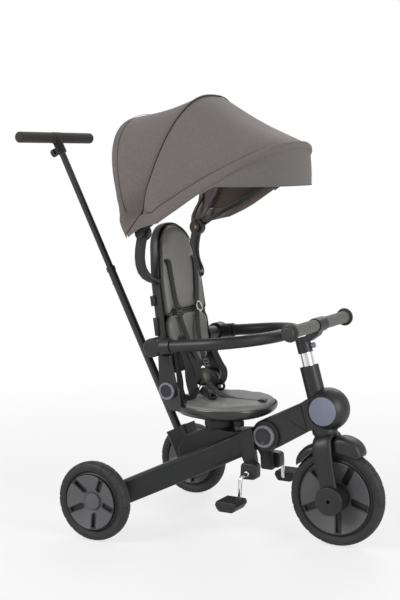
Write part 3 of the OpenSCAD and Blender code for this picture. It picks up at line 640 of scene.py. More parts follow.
tyre("front_tyre", 548, 0, 122.5, 122.5, "front_wheel")
tyre("rear_tyre_left", 0, 253.5, 100, 100, "rear_wheel_left")
tyre("rear_tyre_right", 0, -253.5, 100, 100, "rear_wheel_right")
finished_all(front_rim=0.6, rear_rim_left=0.6, rear_rim_right=0.6)
for part in ("front_covers", "rear_cover_left", "rear_cover_right"):
    finished(part, 0.7, crease=44)

# ---------------------------------------------------------------- rear frame

finished_all(main_body=1.0, pedal_sockets=0, pivot_rings=0.5, fold_button_left=0.5, fold_button_right=0.5,
             rear_axle=0.4)


def arm_plan(t):
    """Middle line of a rear arm seen from above, from the pivot back to the wheel."""
    a = 1 - t
    points = [(318, 45.2), (255, 45), (180, 110), (-12, 222)]
    weights = (a ** 3, 3 * a * a * t, 3 * a * t * t, t ** 3)
    return Vector([sum(w * p[k] for w, p in zip(weights, points)) for k in (0, 1)])


def rear_arm():
    rings = []
    count = 44
    for k in range(count + 1):
        t = k / count
        p = arm_plan(t)
        run = (arm_plan(min(t + 0.01, 1)) - arm_plan(max(t - 0.01, 0))).normalized()
        side = Vector((-run.y, run.x))
        width = table([(0, 10), (0.08, 13), (0.2, 22), (0.36, 28), (0.93, 28), (0.97, 25), (1, 19)], t)
        depth = table([(0, 64), (0.06, 65), (0.93, 65), (0.96, 61), (0.985, 51), (1, 40)], t)
        z = 89.6 + 0.4745 * p.x
        rings.append([at(p.x + side.x * q[0] * width, p.y + side.y * q[0] * width, z + q[1] * depth)
                      for q in oval(0.5, 0.5, 28, 4.4)])
    bar = drawn(rings)
    softened(bar, 1.2, 60)
    plate = slab(rounded([(298, 224, 3), (316, 190, 3), (318, 155, 6), (354, 155, 6), (349, 200, 20),
                          (335, 282.4, 3), (301, 267, 2), (296, 242, 3)]), 38.2, 53.4, 2.2)
    boss = turned([(5.05, 0), (23, 0), (25, 2), (25, 32), (23, 34), (5.05, 34)],
                  sideways(0, 197, 100), 48, closed=True)
    return joined(bar, plate, boss)


arm = rear_arm()
made(mirrored(arm), "rear_arm_right", "rear_frame", "frame_paint", "arm_right", crease=40)
made(arm, "rear_arm_left", "rear_frame", "frame_paint", "arm_left", crease=40)

# ---------------------------------------------------------------- parked pedals

crank_path = eased([(342, 56, 173), (342, 108, 173), (342, 117, 172), (341.8, 122.3, 166.5),
                    (341.5, 123.6, 158), (341, 124, 138), (340.5, 124.8, 126), (340, 128, 118.5),
                    (339.3, 134.5, 115.7), (339, 142, 115.5), (339, 191, 115.5)], 4)
crank = swept([at(*p) for p in crank_path], oval(4.9, 4.9, 18), (1, 0, 0))
collar = turned([(4.9, 0), (7, 0.6), (7, 5), (4.9, 5.6)], sideways(342, 85.6, 173), 36)
made(joined(pair(crank), pair(collar)), "crank_rods", "rear_frame", "chrome", "pedal_cranks")


def tread_block():
    outline = rounded([(320, 102, 8), (358, 102, 8), (368, 117, 3), (365, 127, 3), (313, 127, 3),
                       (310, 117, 3)], 4)
    block = slab(outline, 136.5, 197.5, 1.6)
    parts = [block]
    for k in range(6):
        y = 141.5 + k * 9.2
        parts.append(slab([(314.5, 126.4), (363.5, 126.4), (362.5, 128.6), (315.5, 128.6)],
                          y, y + 4.4, 0.5, segments=1))
    parts.append(slab(rounded([(316, 108, 2), (362, 108, 2), (364, 112, 1), (314, 112, 1)], 2),
                      197, 198.8, 0.5, segments=1))
    return joined(*parts)


block = tread_block()
made(mirrored(block), "pedal_block_right", "pedal_right", SLOTS["pedal_right"], "pedal_right")
made(block, "pedal_block_left", "pedal_left", SLOTS["pedal_left"], "pedal_left")

# ---------------------------------------------------------------- front frame and steering

finished("front_beam", 0, crease=5)
finished("head_shell", 0, crease=30)
finished_all(head_caps=0.4, head_bearings=0.3, steering_post=0.4, front_axle=0.4, stem_clamp=1.0,
             clamp_knob=0.4, handlebar_tube=0.5, handlebar_foam=1.2, bar_end_caps=0.5, fork_caps=0.7)

leg = [(-10, -40, 4), (-9.6, -40, 26), (-8.6, -40.2, 50), (-7.4, -40.2, 72), (-6, -40, 95),
       (-3.8, -39.4, 119), (-1.6, -36.2, 138), (-0.6, -29, 149.5), (0, -18, 154.6), (0, 0, 156)]
half_path = eased(leg, 4)
fork_path = [STEER @ mm(*p) for p in half_path]
fork_path += [STEER @ mm(p[0], -p[1], p[2]) for p in reversed(half_path[:-1])]
widths = [table([(4, 0.86), (26, 0.9), (72, 0.96), (119, 1.04), (138, 1.06), (156, 1)], p[2])
          for p in half_path]
sizes = [(w, table([(0.86, 0.9), (1.06, 1.02)], w)) for w in widths]
fork = swept(fork_path, oval(24, 9, 28, 2.9), (STEER.to_3x3() @ Vector((1, 0, 0))),
             sizes + list(reversed(sizes[:-1])))
boss = turned([(6, 30.6), (33, 30.6), (35, 32.6), (35, 49.4), (6, 49.4)],
              sideways(-10.44, 0, 3.5, STEER), 72)
collar = turned([(15, 148.5), (26, 149), (28.4, 154), (29.6, 160), (30.4, 164.8), (15, 164.8)],
                STEER, 56)
made(joined(fork, pair(boss), collar), "fork_moulding", "steering", SLOTS["fork"], "fork", crease=48)

rings = []
for step in range(45):
    f = 58 + step * 2
    w = table([(58, 25), (66, 28.5), (75, 30), (88, 30), (93, 26), (112, 26), (120, 28), (146, 25)], f)
    ro = table([(58, 133), (61, 142), (66, 150), (72, 155), (80, 157), (87, 156), (90.5, 151),
                (93, 145), (95, 143), (100, 142), (104, 141.5), (112, 141.5), (117, 143.5),
                (125, 146), (134, 144), (141, 140), (146, 131)], f)
    rs = table([(58, 124.4), (62, 117), (66, 113), (95, 110), (104, 122), (141, 122), (146, 124.4)], f)
    ri = table([(58, 124.8), (61, 126), (141, 126), (146, 124.8)], f)
    turn = math.radians(f - RAKE)
    shoulder = max(ro - 12, rs + 1)
    section = [(-w, rs), (-w, (rs + shoulder) / 2), (-w, shoulder), (-w + 1.6, ro - 8),
               (-w + 6, ro - 3.6), (-w * 0.45, ro - 0.6), (0, ro), (w * 0.45, ro - 0.6),
               (w - 6, ro - 3.6), (w - 1.6, ro - 8), (w, shoulder), (w, (rs + shoulder) / 2), (w, rs),
               (w - 3, rs), (w - 4, (rs + ri) / 2), (w - 6, ri), (0, ri + 0.6), (-w + 6, ri),
               (-w + 4, (rs + ri) / 2), (-w + 3, rs)]
    rings.append([STEER @ mm(-10.44 + p[1] * math.cos(turn), p[0], 3.5 + p[1] * math.sin(turn))
                  for p in section])
guard = drawn(rings)
eased_out(guard, 3, 0.35)
made(guard, "mudguard_moulding", "steering", SLOTS["mudguard"], "mudguard", crease=60, levels=1)

# ---------------------------------------------------------------- seat base

finished_all(seat_turntable=0.6, swivel_knob=0.5)


def seat_plan(s, z):
    """Ring of the seat at height z, scaled by s from its widest outline."""
    count = 72
    centre = 221 + 19 * s
    front, back = 132 - 6 * s, 126 + 9 * s
    points = []
    for i in range(count):
        c, q = math.cos(2 * math.pi * i / count), math.sin(2 * math.pi * i / count)
        points.append((centre + (front if c > 0 else back) * math.copysign(abs(c) ** 0.91, c) * s,
                       130 * math.copysign(abs(q) ** 0.91, q) * s, z))
    return points


pan = drawn([[at(*p) for p in seat_plan(*row)] for row in (
    (0.3, 284.15), (0.325, 284.6), (0.36, 285.6), (0.45, 288.6), (0.52, 291.2), (0.58, 293.8),
    (0.67, 297), (0.76, 300.2), (0.83, 302.8), (0.89, 305.8), (0.94, 309.6), (0.972, 313.6),
    (0.99, 317.5), (0.999, 321.5), (1.003, 326), (1.001, 328.4), (0.995, 329.8), (0.985, 330),
    (0.977, 329.2), (0.972, 326), (0.95, 320), (0.9, 316), (0.78, 308))])
bracket = slab(rounded([(138, 316, 4), (170, 316, 4), (160, 372, 20), (150, 392, 18), (120, 392, 18),
                        (111, 368, 14), (111, 350, 8)]), 99, 112.5, 2.4)
made(joined(pan, pair(bracket)), "seat_pan_shell", "seat", SLOTS["seat_pan"], "seat_pan", crease=50)

# ---------------------------------------------------------------- backrest shell

def back_ring(outline, n, inward):
    """Ring of the backrest at n in front of its face, wrapped forward at the sides."""
    points = []
    count = len(outline)
    for i, p in enumerate(outline):
        u = (p - outline[i - 1]).normalized()
        v = (outline[(i + 1) % count] - p).normalized()
        move = Vector((-u.y - v.y, u.x + v.x)) * inward / (1 + u.dot(v))
        q = p + move
        points.append(on_back(q.x, q.y, n + 12 * (q.x / 110) ** 2))
    return points


SHELL = rounded([(-84, -10, 28), (84, -10, 28), (112.5, 62, 90), (106, 236, 60), (68, 374, 80),
                 (-68, 374, 80), (-106, 236, 60), (-112.5, 62, 90)], 9)
shell = drawn([back_ring(SHELL, *row) for row in (
    (-44, 40), (-43.6, 32), (-42.6, 22), (-41, 13), (-38.6, 7), (-35, 3), (-30, 1), (-25, 0.2),
    (-20, 0), (-15.4, 0), (-13.2, 0.6), (-12.4, 2), (-12.6, 3.8), (-14, 5.2), (-22, 6.5),
    (-22.4, 12), (-22.6, 34))])
boss = turned([(8.1, 96), (16, 96), (17, 97.4), (17, 147.3), (8.1, 147.3)],
              sideways(*RECLINE), 48)
stub = turned([(8, 104.8), (8, 173.4), (6, 174), (0, 174)], sideways(*RECLINE), 32)
pad_boss = turned([(0, 96), (8.4, 96), (9, 97), (9, 112.4), (8.4, 113), (0, 113)],
                  sideways(125, 0, 440), 32)


def side_latch(h, long):
    """Small moulded latch on the shell's edge."""
    return swept([on_back(106.5, h, -24), on_back(106.5, h + long, -24)],
                 oval(9, 6, 12, 5), (0, 1, 0))


parts = [shell, pair(boss), pair(stub), pair(pad_boss)]
for h, long in ((92, 46), (168, 26)):
    parts.append(pair(softened(side_latch(h, long), 1, 50)))
made(joined(*parts), "back_shell_moulding", "backrest", SLOTS["back_shell"], "back_shell", crease=50)
axle = sideways(135, 0, 369)
ring = turned([(15.8, 128.9), (16.2, 130.2), (17, 131), (20.6, 131), (21.8, 129.6), (21.8, 127.1),
               (17, 127.1), (15.8, 128)], axle, 56, closed=True)
made(pair(ring), "pivot_ring_trims", "backrest", "knob_lilac", crease=40)
core = turned([(0, 127.1), (15.9, 127.1), (15.9, 129.2), (15.2, 129.8), (0, 129.8)], axle, 56)
pin = turned([(0, 99.2), (6, 99.2), (6, 128)], axle, 32)
made(joined(pair(core), pair(pin)), "pivot_ring_cores", "backrest", "button_black", "back_rings",
     crease=40)
finished("back_legs", 0)

# ---------------------------------------------------------------- bumper

finished("bumper_elbows", 1.2)
bar = [(24 + k * 110 / 5, 166, 0) for k in range(6)]
bar += [(134 + 150 * math.sin(math.radians(a)), 16 + 150 * math.cos(math.radians(a)), 0)
        for a in range(5, 90, 5)]
bar += [(284, y, 0) for y in (16, 8, 0)]
path = [BUMPER @ mm(*p) for p in bar] + [BUMPER @ mm(p[0], -p[1], p[2]) for p in reversed(bar[:-1])]
rail = swept(path, oval(15, 15, 28), (BUMPER.to_3x3() @ Vector((0, 0, 1))))
cuff = swept([BUMPER @ mm(x, 166, 0) for x in (47.6, 48.4, 58, 58.8)], oval(15.6, 15.6, 28),
             (BUMPER.to_3x3() @ Vector((0, 0, 1))), [(0.97, 0.97), (1, 1), (1, 1), (0.97, 0.97)])
made(joined(rail, pair(cuff)), "bumper_rail", "bumper", SLOTS["bumper_bar"], "bumper_bar", crease=40)

# ---------------------------------------------------------------- push bar

finished_all(push_tube_outer=0.3, push_tube_inner=0.3, push_knob=0.5, push_handle=0.8)

# ---------------------------------------------------------------- canopy

HUB = (76, 766)
BOWS = {"rear": (103.6, 302, 212), "mid": (69.8, 366, 190), "front": (33.5, 417.5, 205)}
HALF = [-80, -74, -68, -62, -56, -50, -44, -36, -28, -20, -12, -5, 0, 2.5, 5, 8, 11, 15, 19, 24, 29,
        35, 41, 48, 55, 62, 69, 76, 83, 90]


def bow_point(bow, inset, t):
    """Point of a bow, in mm: legs below 0 degrees, a rounded top from there to 90."""
    angle, reach, half = BOWS[bow]
    reach, half = reach - inset, half - inset
    leg = 0.35 * reach
    if t < 0:
        s, y = leg * (1 + t / 90), 139 + (half - 139) * math.sin(math.radians(90 + t))
    else:
        s = leg + (reach - leg) * math.sin(math.radians(t)) ** 0.784
        y = half * math.cos(math.radians(t)) ** 0.784 if t < 90 else 0.0
    return Vector((HUB[0] + s * math.cos(math.radians(angle)), y,
                   HUB[1] + s * math.sin(math.radians(angle))))


def over(bow, t):
    """How far the cloth lies inside the bow's full reach: more toward the top."""
    return (5 if bow != "front" else 1) * max(0, math.sin(math.radians(max(t, 0)))) ** 2


def seam(bow, ends, shift, t):
    """A seam near a bow: its line moved by shift rows across the bow, then on through the end points."""
    angle = math.radians(BOWS[bow][0])
    back = Vector((-math.sin(angle), 0, math.cos(angle)))
    if t >= -44 or not ends:
        return bow_point(bow, over(bow, t), t) + back * table(shift, t)
    first = bow_point(bow, 0, -44) + back * table(shift, -44)
    line = eased([first] + [Vector((x, y, z)) for x, y, z in ends], 6)
    k = (-44 - t) / 36 * (len(line) - 1)
    i = min(int(k), len(line) - 2)
    return line[i].lerp(line[i + 1], k - i)


MID_END = [(88.5, 173, 812), (68, 171.6, 787), (50, 171, 765)]


def rear_edge(t):
    return seam("rear", [(33, 184, 795), (36, 176, 776), (47, 171, 751)],
                [(-44, 27), (-28, 17), (0, 10), (20, 8), (60, 5), (90, 4)], t)


def rear_line(t):
    return seam("rear", [(52, 180, 800), (48, 174, 780), (48, 171.5, 757)], [(-44, 6), (-20, 1), (0, 0)], t)


def mid_line(t):
    return seam("mid", MID_END, [(0, 0)], t)


def rim_line(t):
    if t < -56:
        return mid_line(t)
    return seam("front", MID_END, [(-44, 13), (-24, 11), (0, 7), (12, 3), (25, -1), (40, -5), (90, -7)], t)


def rim_low(t):
    return seam("front", [(112, 176, 785), (84, 172.5, 776), (52, 171, 755)],
                [(-44, -17), (-20, -21), (0, -23), (30, -25), (90, -25)], t)


def outward(p):
    """Direction away from the middle of the canopy."""
    return Vector((p.x - 150, p.y * 0.9, p.z - 800)).normalized()


def whole(line):
    """A half line of points from the left hub to the top, carried on to the right hub."""
    return line + [Vector((p.x, -p.y, p.z)) for p in reversed(line[:-1])]


def cloth_rows(first, second, steps, sag, bulge, places, drop=0.0, lead=()):
    """Rows of points of a panel between two seams, pulled in at the top and full at the sides."""
    rows = []
    for t in places:
        a, b = first(t), second(t)
        reach = table([(-80, 0), (-44, 0.35), (0, 0.8), (40, 1)], t)
        full = table([(-50, 0), (0, 1), (25, 1), (50, 0.2), (90, 0)], t)
        row = []
        for k in range(steps + 1):
            u = k / steps
            p = a.lerp(b, u)
            wave = math.sin(math.pi * u)
            dip = -sag * wave * reach * (1 - full) + bulge * wave * full
            quick_rise = min(u / 0.08, 1) * min((1 - u) / 0.08, 1)
            pucker = 0.5 * math.sin(t * 1.9 + 9 * u) * wave * full
            p = p + outward(p) * (dip + 1.6 * quick_rise * table([(-56, 0), (-30, 1)], t) + pucker - drop)
            row.append(p)
        if lead:
            e = lead[0](t)
            edge = [e.lerp(row[0], v) for v in (0.0, 0.3, 0.65)]
            edge = [p + outward(p) * (lift * table([(-80, 0), (-44, 1)], t) - drop)
                    for p, lift in zip(edge, (-3.5, 0.6, 1.4))]
            row = edge + row
        rows.append(row)
    return rows


def cloth_sheet(rows, thick):
    """Cloth from half rows, carried over the top, with its thickness inward."""
    rings = [[at(*p) for p in row] for row in rows]
    rings += [[at(p.x, -p.y, p.z) for p in row] for row in reversed(rows[:-1])]
    shape = drawn(rings, closed=False, uv=True)
    middle = sum((f.calc_center_median() for f in shape.faces), Vector()) / len(shape.faces)
    turned_in = sum((f.calc_center_median() - middle - Vector((0, 0, -0.1))).dot(f.normal) * f.calc_area()
                    for f in shape.faces) < 0
    if turned_in:
        bmesh.ops.reverse_faces(shape, faces=shape.faces)
    bmesh.ops.solidify(shape, geom=shape.faces, thickness=thick)
    return shape


def spanned(rows, name, finish, thick, bodies, ends, stands_for=()):
    """Cloth stretched between two bows, taken off its body."""
    piece = made(cloth_sheet(rows, thick), name, "backrest", finish, stands_for, crease=70)
    blended(piece, *bodies, *ends)


def blended(piece, first, second, start, end):
    """Takes a piece off its body and bakes its place into its mesh."""
    piece.parent = None
    del piece["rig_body"]
    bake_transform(piece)


REAR_START, MID_HALF, FRONT_END = at(33, 0, 942), at(152, 0, 972), at(284, 0, 904)
FRONT_HALF = [-55.9, -53] + [t for t in HALF if t >= -50]
LINING_DROP = 2.6  # how far the lining lies under the cloth, in mm

for panel, lines, steps, full, places, lead, bodies, ends, bows in (
        ("rear", (rear_line, mid_line), (14, 10), 2.5, HALF, (rear_edge,),
         ("backrest", "canopy_mid"), (REAR_START, MID_HALF), ["canopy_bow_rear", "canopy_bow_mid"]),
        ("front", (mid_line, rim_line), (18, 12), 6, FRONT_HALF, (),
         ("canopy_mid", "canopy_front"), (MID_HALF, FRONT_END), ["canopy_bow_mid", "canopy_bow_front"])):
    cloth = cloth_rows(*lines, steps[0], 8, full, places, lead=lead)
    lining = cloth_rows(*lines, steps[1], 8, full, places, LINING_DROP)
    spanned(cloth, "canopy_" + panel + "_cloth", "canopy", 0.0008, bodies, ends,
            "canopy_panel_" + panel)
    spanned(lining, "canopy_" + panel + "_lining", "lining", 0.0004, bodies, ends)


def piping(line, lift, size, name, body, finish, side=(1, 0, 0)):
    """Thin rolled seam along a half line of points, over both sides."""
    points = whole([p + outward(p) * lift for p in line])
    path = [at(*p) for p in points]
    return made(swept(path, oval(size, size, 8), side, uv=True), name, body, finish)


piping([mid_line(t) for t in HALF if t >= -56], 2.2, 1.5, "mid_seam_piping", "canopy_mid", "canopy")
# Thin dark tube beside the mid seam's piping: painted shade of the groove along the seam
piping([mid_line(t + 0.001) + Vector((2.6, 0, -0.8)) for t in HALF if t >= -56], 1.3, 1.1,
       "mid_seam_painted_shade", "canopy_mid", "thread")
piping([rear_line(t).lerp(mid_line(t), 0.085) for t in HALF if t >= -44], 2.4, 0.55,
       "rear_hem_stitch", "backrest", "thread")
flap = swept([at(*(mid_line(t) + outward(mid_line(t)) * 1.2)) for t in HALF if t <= -56], oval(1, 1, 8),
             (1, 0, 0), uv=True)
made(pair(flap), "hub_flap_seam", "backrest", "thread")

# rolled rim along the front bow, widening into the flap over the hub
HUB_SHIFT = Vector((0.8, 0, -0.6))  # keeps the flap clear of the cloth under it
rim_rings = []
for t in HALF:
    a, b = rim_line(t), rim_low(t)
    if t <= -56:
        a = a + HUB_SHIFT
    middle = a.lerp(b, 0.5)
    up = outward(middle)
    if t < 0:
        up = up.lerp(Vector((0, 1, 0)), min(1, -t / 40)).normalized()
    high = table([(-80, 1.5), (-56, 2.5), (-30, 4.5), (0, 6.5), (30, 7.5), (90, 7.5)], t)
    ring = []
    for u, h in ((0, -0.6), (0.02, 0.5), (0.1, 0.74), (0.25, 0.94), (0.45, 1), (0.62, 0.96), (0.8, 0.8),
                 (0.93, 0.5), (1, 0.1), (0.97, -0.25), (0.86, -0.42), (0.5, -0.5), (0.12, -0.75)):
        ring.append(a.lerp(b, u) + up * (h * high + 1))
    rim_rings.append([at(*p) for p in ring])
rim_rings += [[Vector((p.x, -p.y, p.z)) for p in ring] for ring in reversed(rim_rings[:-1])]
made(drawn(rim_rings, uv=True), "canopy_rim_roll", "canopy_front", "canopy", crease=75)
piping([rim_line(t) + outward(rim_line(t)) * 0.4 for t in HALF if t >= -50], 1.6, 0.9, "rim_upper_seam",
       "canopy_front", "thread")

# visor skirt below the rim
SKIRT_HEM = 884  # height of the skirt's lower edge
skirt_rows = []
for t in [t for t in HALF if t >= 11]:
    p = rim_low(t)
    top = p.lerp(rim_line(t), 0.12) + outward(p) * 0.5
    out = Vector((p.x - 150, p.y, 0)).normalized()
    low = min(SKIRT_HEM, p.z - 3)
    bottom = Vector((p.x, p.y, low)) + out * table([(11, 1), (30, 2), (90, 4)], t)
    skirt_rows.append([top.lerp(bottom, u) + out * (1.6 * math.sin(math.pi * u)) for u in
                       (0, 0.12, 0.3, 0.5, 0.7, 0.88, 1)])
skirt = made(cloth_sheet(skirt_rows, 0.0009), "canopy_visor_skirt", "canopy_front", "visor",
             "canopy_visor", crease=70)
piping([row[-1] for row in skirt_rows], 0.4, 1.0, "visor_hem", "canopy_front", "visor", (0, 0, 1))
piping([row[0] for row in skirt_rows], 0.6, 0.9, "rim_lower_seam", "canopy_front", "thread", (0, 0, 1))

finished_all(canopy_bow_rear=0.4, canopy_bow_mid=0.4, canopy_bow_front=0.4)
screw = turned([(0, 0), (3.4, 0), (4.4, 0.8), (4.4, 1.4), (2.4, 1.5), (2.2, 0.4), (0, 0.2)],
               Matrix.Translation(at(76, 0, 766)) @ Matrix.Translation((0, 0.1287, 0))
               @ Matrix.Rotation(math.radians(90), 4, "X"), 24)
finished("canopy_uprights", 0.7)
made(pair(screw), "upright_screws", "backrest", "brass")

# ---------------------------------------------------------------- padding

UPPER = rounded([(-101, 136, 9), (-60, 145.5, 60), (60, 145.5, 60), (101, 136, 9), (98, 235, 52),
                 (61.9, 366, 72), (-61.9, 366, 72), (-98, 235, 52)], 9)
LOWER = rounded([(-78, -2, 22), (78, -2, 22), (103, 62, 80), (101.5, 141.5, 34),
                 (-101.5, 141.5, 34), (-103, 62, 80)], 9)


STUFFING_FRAMES = 20


def stuffed(shape, name, limit):
    """Swells a closed shape like stuffed cloth; limit(point) says how far a point may move."""
    mesh = bpy.data.meshes.new(name)
    shape.to_mesh(mesh)
    shape.free()
    piece = bpy.data.objects.new(name, mesh)
    bpy.context.scene.collection.objects.link(piece)
    grid = piece.modifiers.new("grid", "REMESH")
    grid.mode = "VOXEL"
    grid.voxel_size = 0.005
    grid.use_smooth_shade = True
    bpy.context.view_layer.update()
    view = bpy.context.evaluated_depsgraph_get()
    even = bpy.data.meshes.new_from_object(piece.evaluated_get(view))
    piece.modifiers.clear()
    piece.data = even
    before = [v.co.copy() for v in even.vertices]
    after = before
    cloth = piece.modifiers.new("cloth", "CLOTH")
    cloth.settings.use_pressure = True
    cloth.settings.uniform_pressure_force = 4
    cloth.settings.effector_weights.gravity = 0
    cloth.settings.quality = 4
    cloth.point_cache.frame_start = 1
    cloth.point_cache.frame_end = STUFFING_FRAMES
    for frame_number in range(1, STUFFING_FRAMES + 1):
        bpy.context.scene.frame_set(frame_number)
    view = bpy.context.evaluated_depsgraph_get()
    puffed = piece.evaluated_get(view).data
    after = [v.co.copy() for v in puffed.vertices]
    piece.modifiers.clear()
    bpy.context.scene.frame_set(1)
    shape = bmesh.new()
    shape.from_mesh(even)
    shape.verts.ensure_lookup_table()
    for v, a, b in zip(shape.verts, before, after):
        move = b - a
        most = limit(a)
        if move.length > most:
            move *= most / move.length
        v.co = a + move
    bpy.data.objects.remove(piece)
    eased_out(shape, 3, 0.5)
    bmesh.ops.subdivide_edges(shape, edges=shape.edges, cuts=1, use_grid_fill=True, smooth=0.0)
    eased_out(shape, 2, 0.5)
    return shape


FACE = Vector((math.cos(LEAN), 0, math.sin(LEAN)))
UP = Vector((-math.sin(LEAN), 0, math.cos(LEAN)))


def in_back(p):
    """(across, up, forward) of a point on the backrest, in mm."""
    q = (p - at(FOOT[0], 0, FOOT[1])) * 1000
    return q.y, q.dot(UP), q.dot(FACE)


def hill(x, width):
    """1 at x = 0, falling away smoothly over a width."""
    return math.exp(-(x / width) ** 2)


def back_pad(outline, name, part, middle, slots):
    """Stuffed back cushion with its piping, pressed in under the straps at the slots' heights."""
    rows = [back_ring(outline, n, inward) for n, inward in
            ((-18, 2.2), (-9, 1.2), (-5, 1.2), (-2.2, 2.8), (-0.7, 6), (0.1, 12))]
    for k in (0.72, 0.5, 0.26):
        rows.append([on_back(p.x * k, middle + (p.y - middle) * k,
                             0.6 + 12 * (p.x * k / 110) ** 2) for p in outline])
    shape = drawn(rows)

    def limit(p):
        forward = in_back(p)[2]
        return table([(-14, 0.0002), (-8, 0.0008), (-2, 0.0022), (2, 0.0032)], forward)

    shape = stuffed(shape, name, limit)
    for v in shape.verts:
        y, h, n = in_back(v.co)
        if n < -6:
            continue
        press = 0.0
        for slot_h in slots:
            press += 5.5 * hill(abs(y) - 66, 10) * hill(h - slot_h - 4, 7)
            if h < slot_h:
                press += 1.1 * hill(abs(y) - table([(105, 42), (195, 61), (274, 66)], h), 13)
        v.co -= FACE * press / 1000
    piece = made(shape, name, "backrest", "pad", part, crease=180)
    edge = back_ring(outline, -4.2, 0.9)
    edge = edge + edge[:2]
    made(swept(edge, oval(1.7, 1.7, 8), FACE), name + "_piping", "backrest", "pad_edge")


back_pad(UPPER, "upper_back_cushion", "back_pad_upper", 235, (274,))
back_pad(LOWER, "lower_back_cushion", "back_pad_lower", 70, ())

rows = [[at(*p) for p in seat_plan(*row)] for row in (
    (0.775, 309), (0.895, 317), (0.94, 321.5), (0.962, 326.5), (0.968, 330.6), (0.969, 333.4), (0.964, 336),
    (0.95, 338.4), (0.92, 340.2), (0.84, 341.4), (0.7, 341.2), (0.5, 340.6), (0.25, 340))]
shape = drawn(rows)


def seat_limit(p):
    return table([(0.326, 0.0002), (0.331, 0.0012), (0.336, 0.0028)], p.z)


shape = stuffed(shape, "seat_cushion", seat_limit)
for v in shape.verts:
    x, y, z = (v.co.x - REAR) * 1000, v.co.y * 1000, v.co.z * 1000
    wall = table([(84, 140), (98, 97.2), (178, 97.2), (192, 140)], x)
    if abs(y) > wall:
        y = math.copysign(wall, y)
    if z > 336:
        z -= 2.4 * hill(abs(y), 13.5) ** 2 * table([(200, 0), (222, 1), (336, 1), (350, 0)], x)
    v.co = at(x, y, z)
piece = made(shape, "seat_cushion", "seat", "pad", "seat_pad", crease=180)

# ---------------------------------------------------------------- harness

WEB = [(-1, -1), (-0.9, -1), (0.9, -1), (1, -1), (1, 1), (0.9, 1), (-0.9, 1), (-1, 1)]
THICK = 1.7  # of the webbing, in mm


def webbing(path, side, name, body, wide=19, bend=None, stands_for=()):
    """Flat woven strap; side is its width's direction, and bend, the span where it leaves the backrest,
    takes the strap off its body when given.
    """
    steps = 6
    line = eased(path, steps)
    sides = eased(side, steps) if isinstance(side, list) else side
    section = [(x * wide / 2, y * THICK / 2) for x, y in WEB]
    strap = made(swept(line, section, sides, uv=True), name, body, "webbing", stands_for, crease=40)
    if bend:
        blended(strap, "backrest", "seat", *bend)


def shoulder(ys, name, stands_for=()):
    heights = (281, 277, 269, 240, 200, 172, 150, 118, 84, 50, 16, -6)
    fronts = (0, 7.4, 10.6, 11.2, 11.4, 12.2, 13.6, 15.6, 20, 25, 31, 33.4)
    webbing([on_back(y, h, n) for y, h, n in zip(ys, heights, fronts)], (0, 1, 0), name, "backrest",
            bend=(on_back(0, 90, 20), on_back(0, 4, 33)), stands_for=stands_for)


shoulder((66, 66, 66, 64.5, 58, 50, 44, 33, 22, 15, 11, 8), "shoulder_strap_left", "harness")
shoulder((-66, -66, -66, -65, -62, -59, -56, -50, -43, -33, -21, -12), "shoulder_strap_right")


def frame_loop(where, wide, tall, bar, finish, name, body):
    """Rectangular wire slide with rounded corners around a strap."""
    corners = rounded([(-wide / 2, -tall / 2, 2.5), (wide / 2, -tall / 2, 2.5), (wide / 2, tall / 2, 2.5),
                       (-wide / 2, tall / 2, 2.5)], 3)
    path = [where @ mm(p.x, p.y, 0) for p in corners]
    path += path[:2]
    shape = swept(path, oval(bar, bar, 8), where.to_3x3() @ Vector((0, 0, 1)))
    middle = swept([where @ mm(-wide / 2, 0, 0.4), where @ mm(wide / 2, 0, 0.4)], oval(bar, bar, 8),
                   where.to_3x3() @ Vector((0, 0, 1)))
    return made(joined(shape, middle), name, body, finish)


def on_strap(y, h, n, turn=0):
    """A place on the backrest with X across, Y up and Z forward."""
    axes = Matrix(((0, -math.sin(LEAN), math.cos(LEAN)), (1, 0, 0), (0, math.cos(LEAN), math.sin(LEAN))))
    return (Matrix.Translation(on_back(y, h, n)) @ axes.to_4x4()
            @ Matrix.Rotation(math.radians(turn), 4, "X"))


frame_loop(on_strap(-55.5, 146, 15.6, -6), 25, 26, 1.6, "buckle", "shoulder_slide_right", "backrest")
frame_loop(on_strap(-54.5, 139, 17.4, -10), 23, 10, 1.8, "buckle", "shoulder_slide_bar_right", "backrest")
ring = turned([(10.2, 0), (11, 1.4), (12.6, 2), (14.2, 1.4), (15, 0), (14.2, -1.4), (12.6, -2), (11, -1.4)],
              on_strap(48, 148, 17, -10), 40, closed=True)
made(ring, "shoulder_ring_left", "backrest", "chrome")
frame_loop(on_strap(12, 2, 35.5, -16), 23, 17, 2.2, "knob_olive", "lower_slide_left", "backrest")

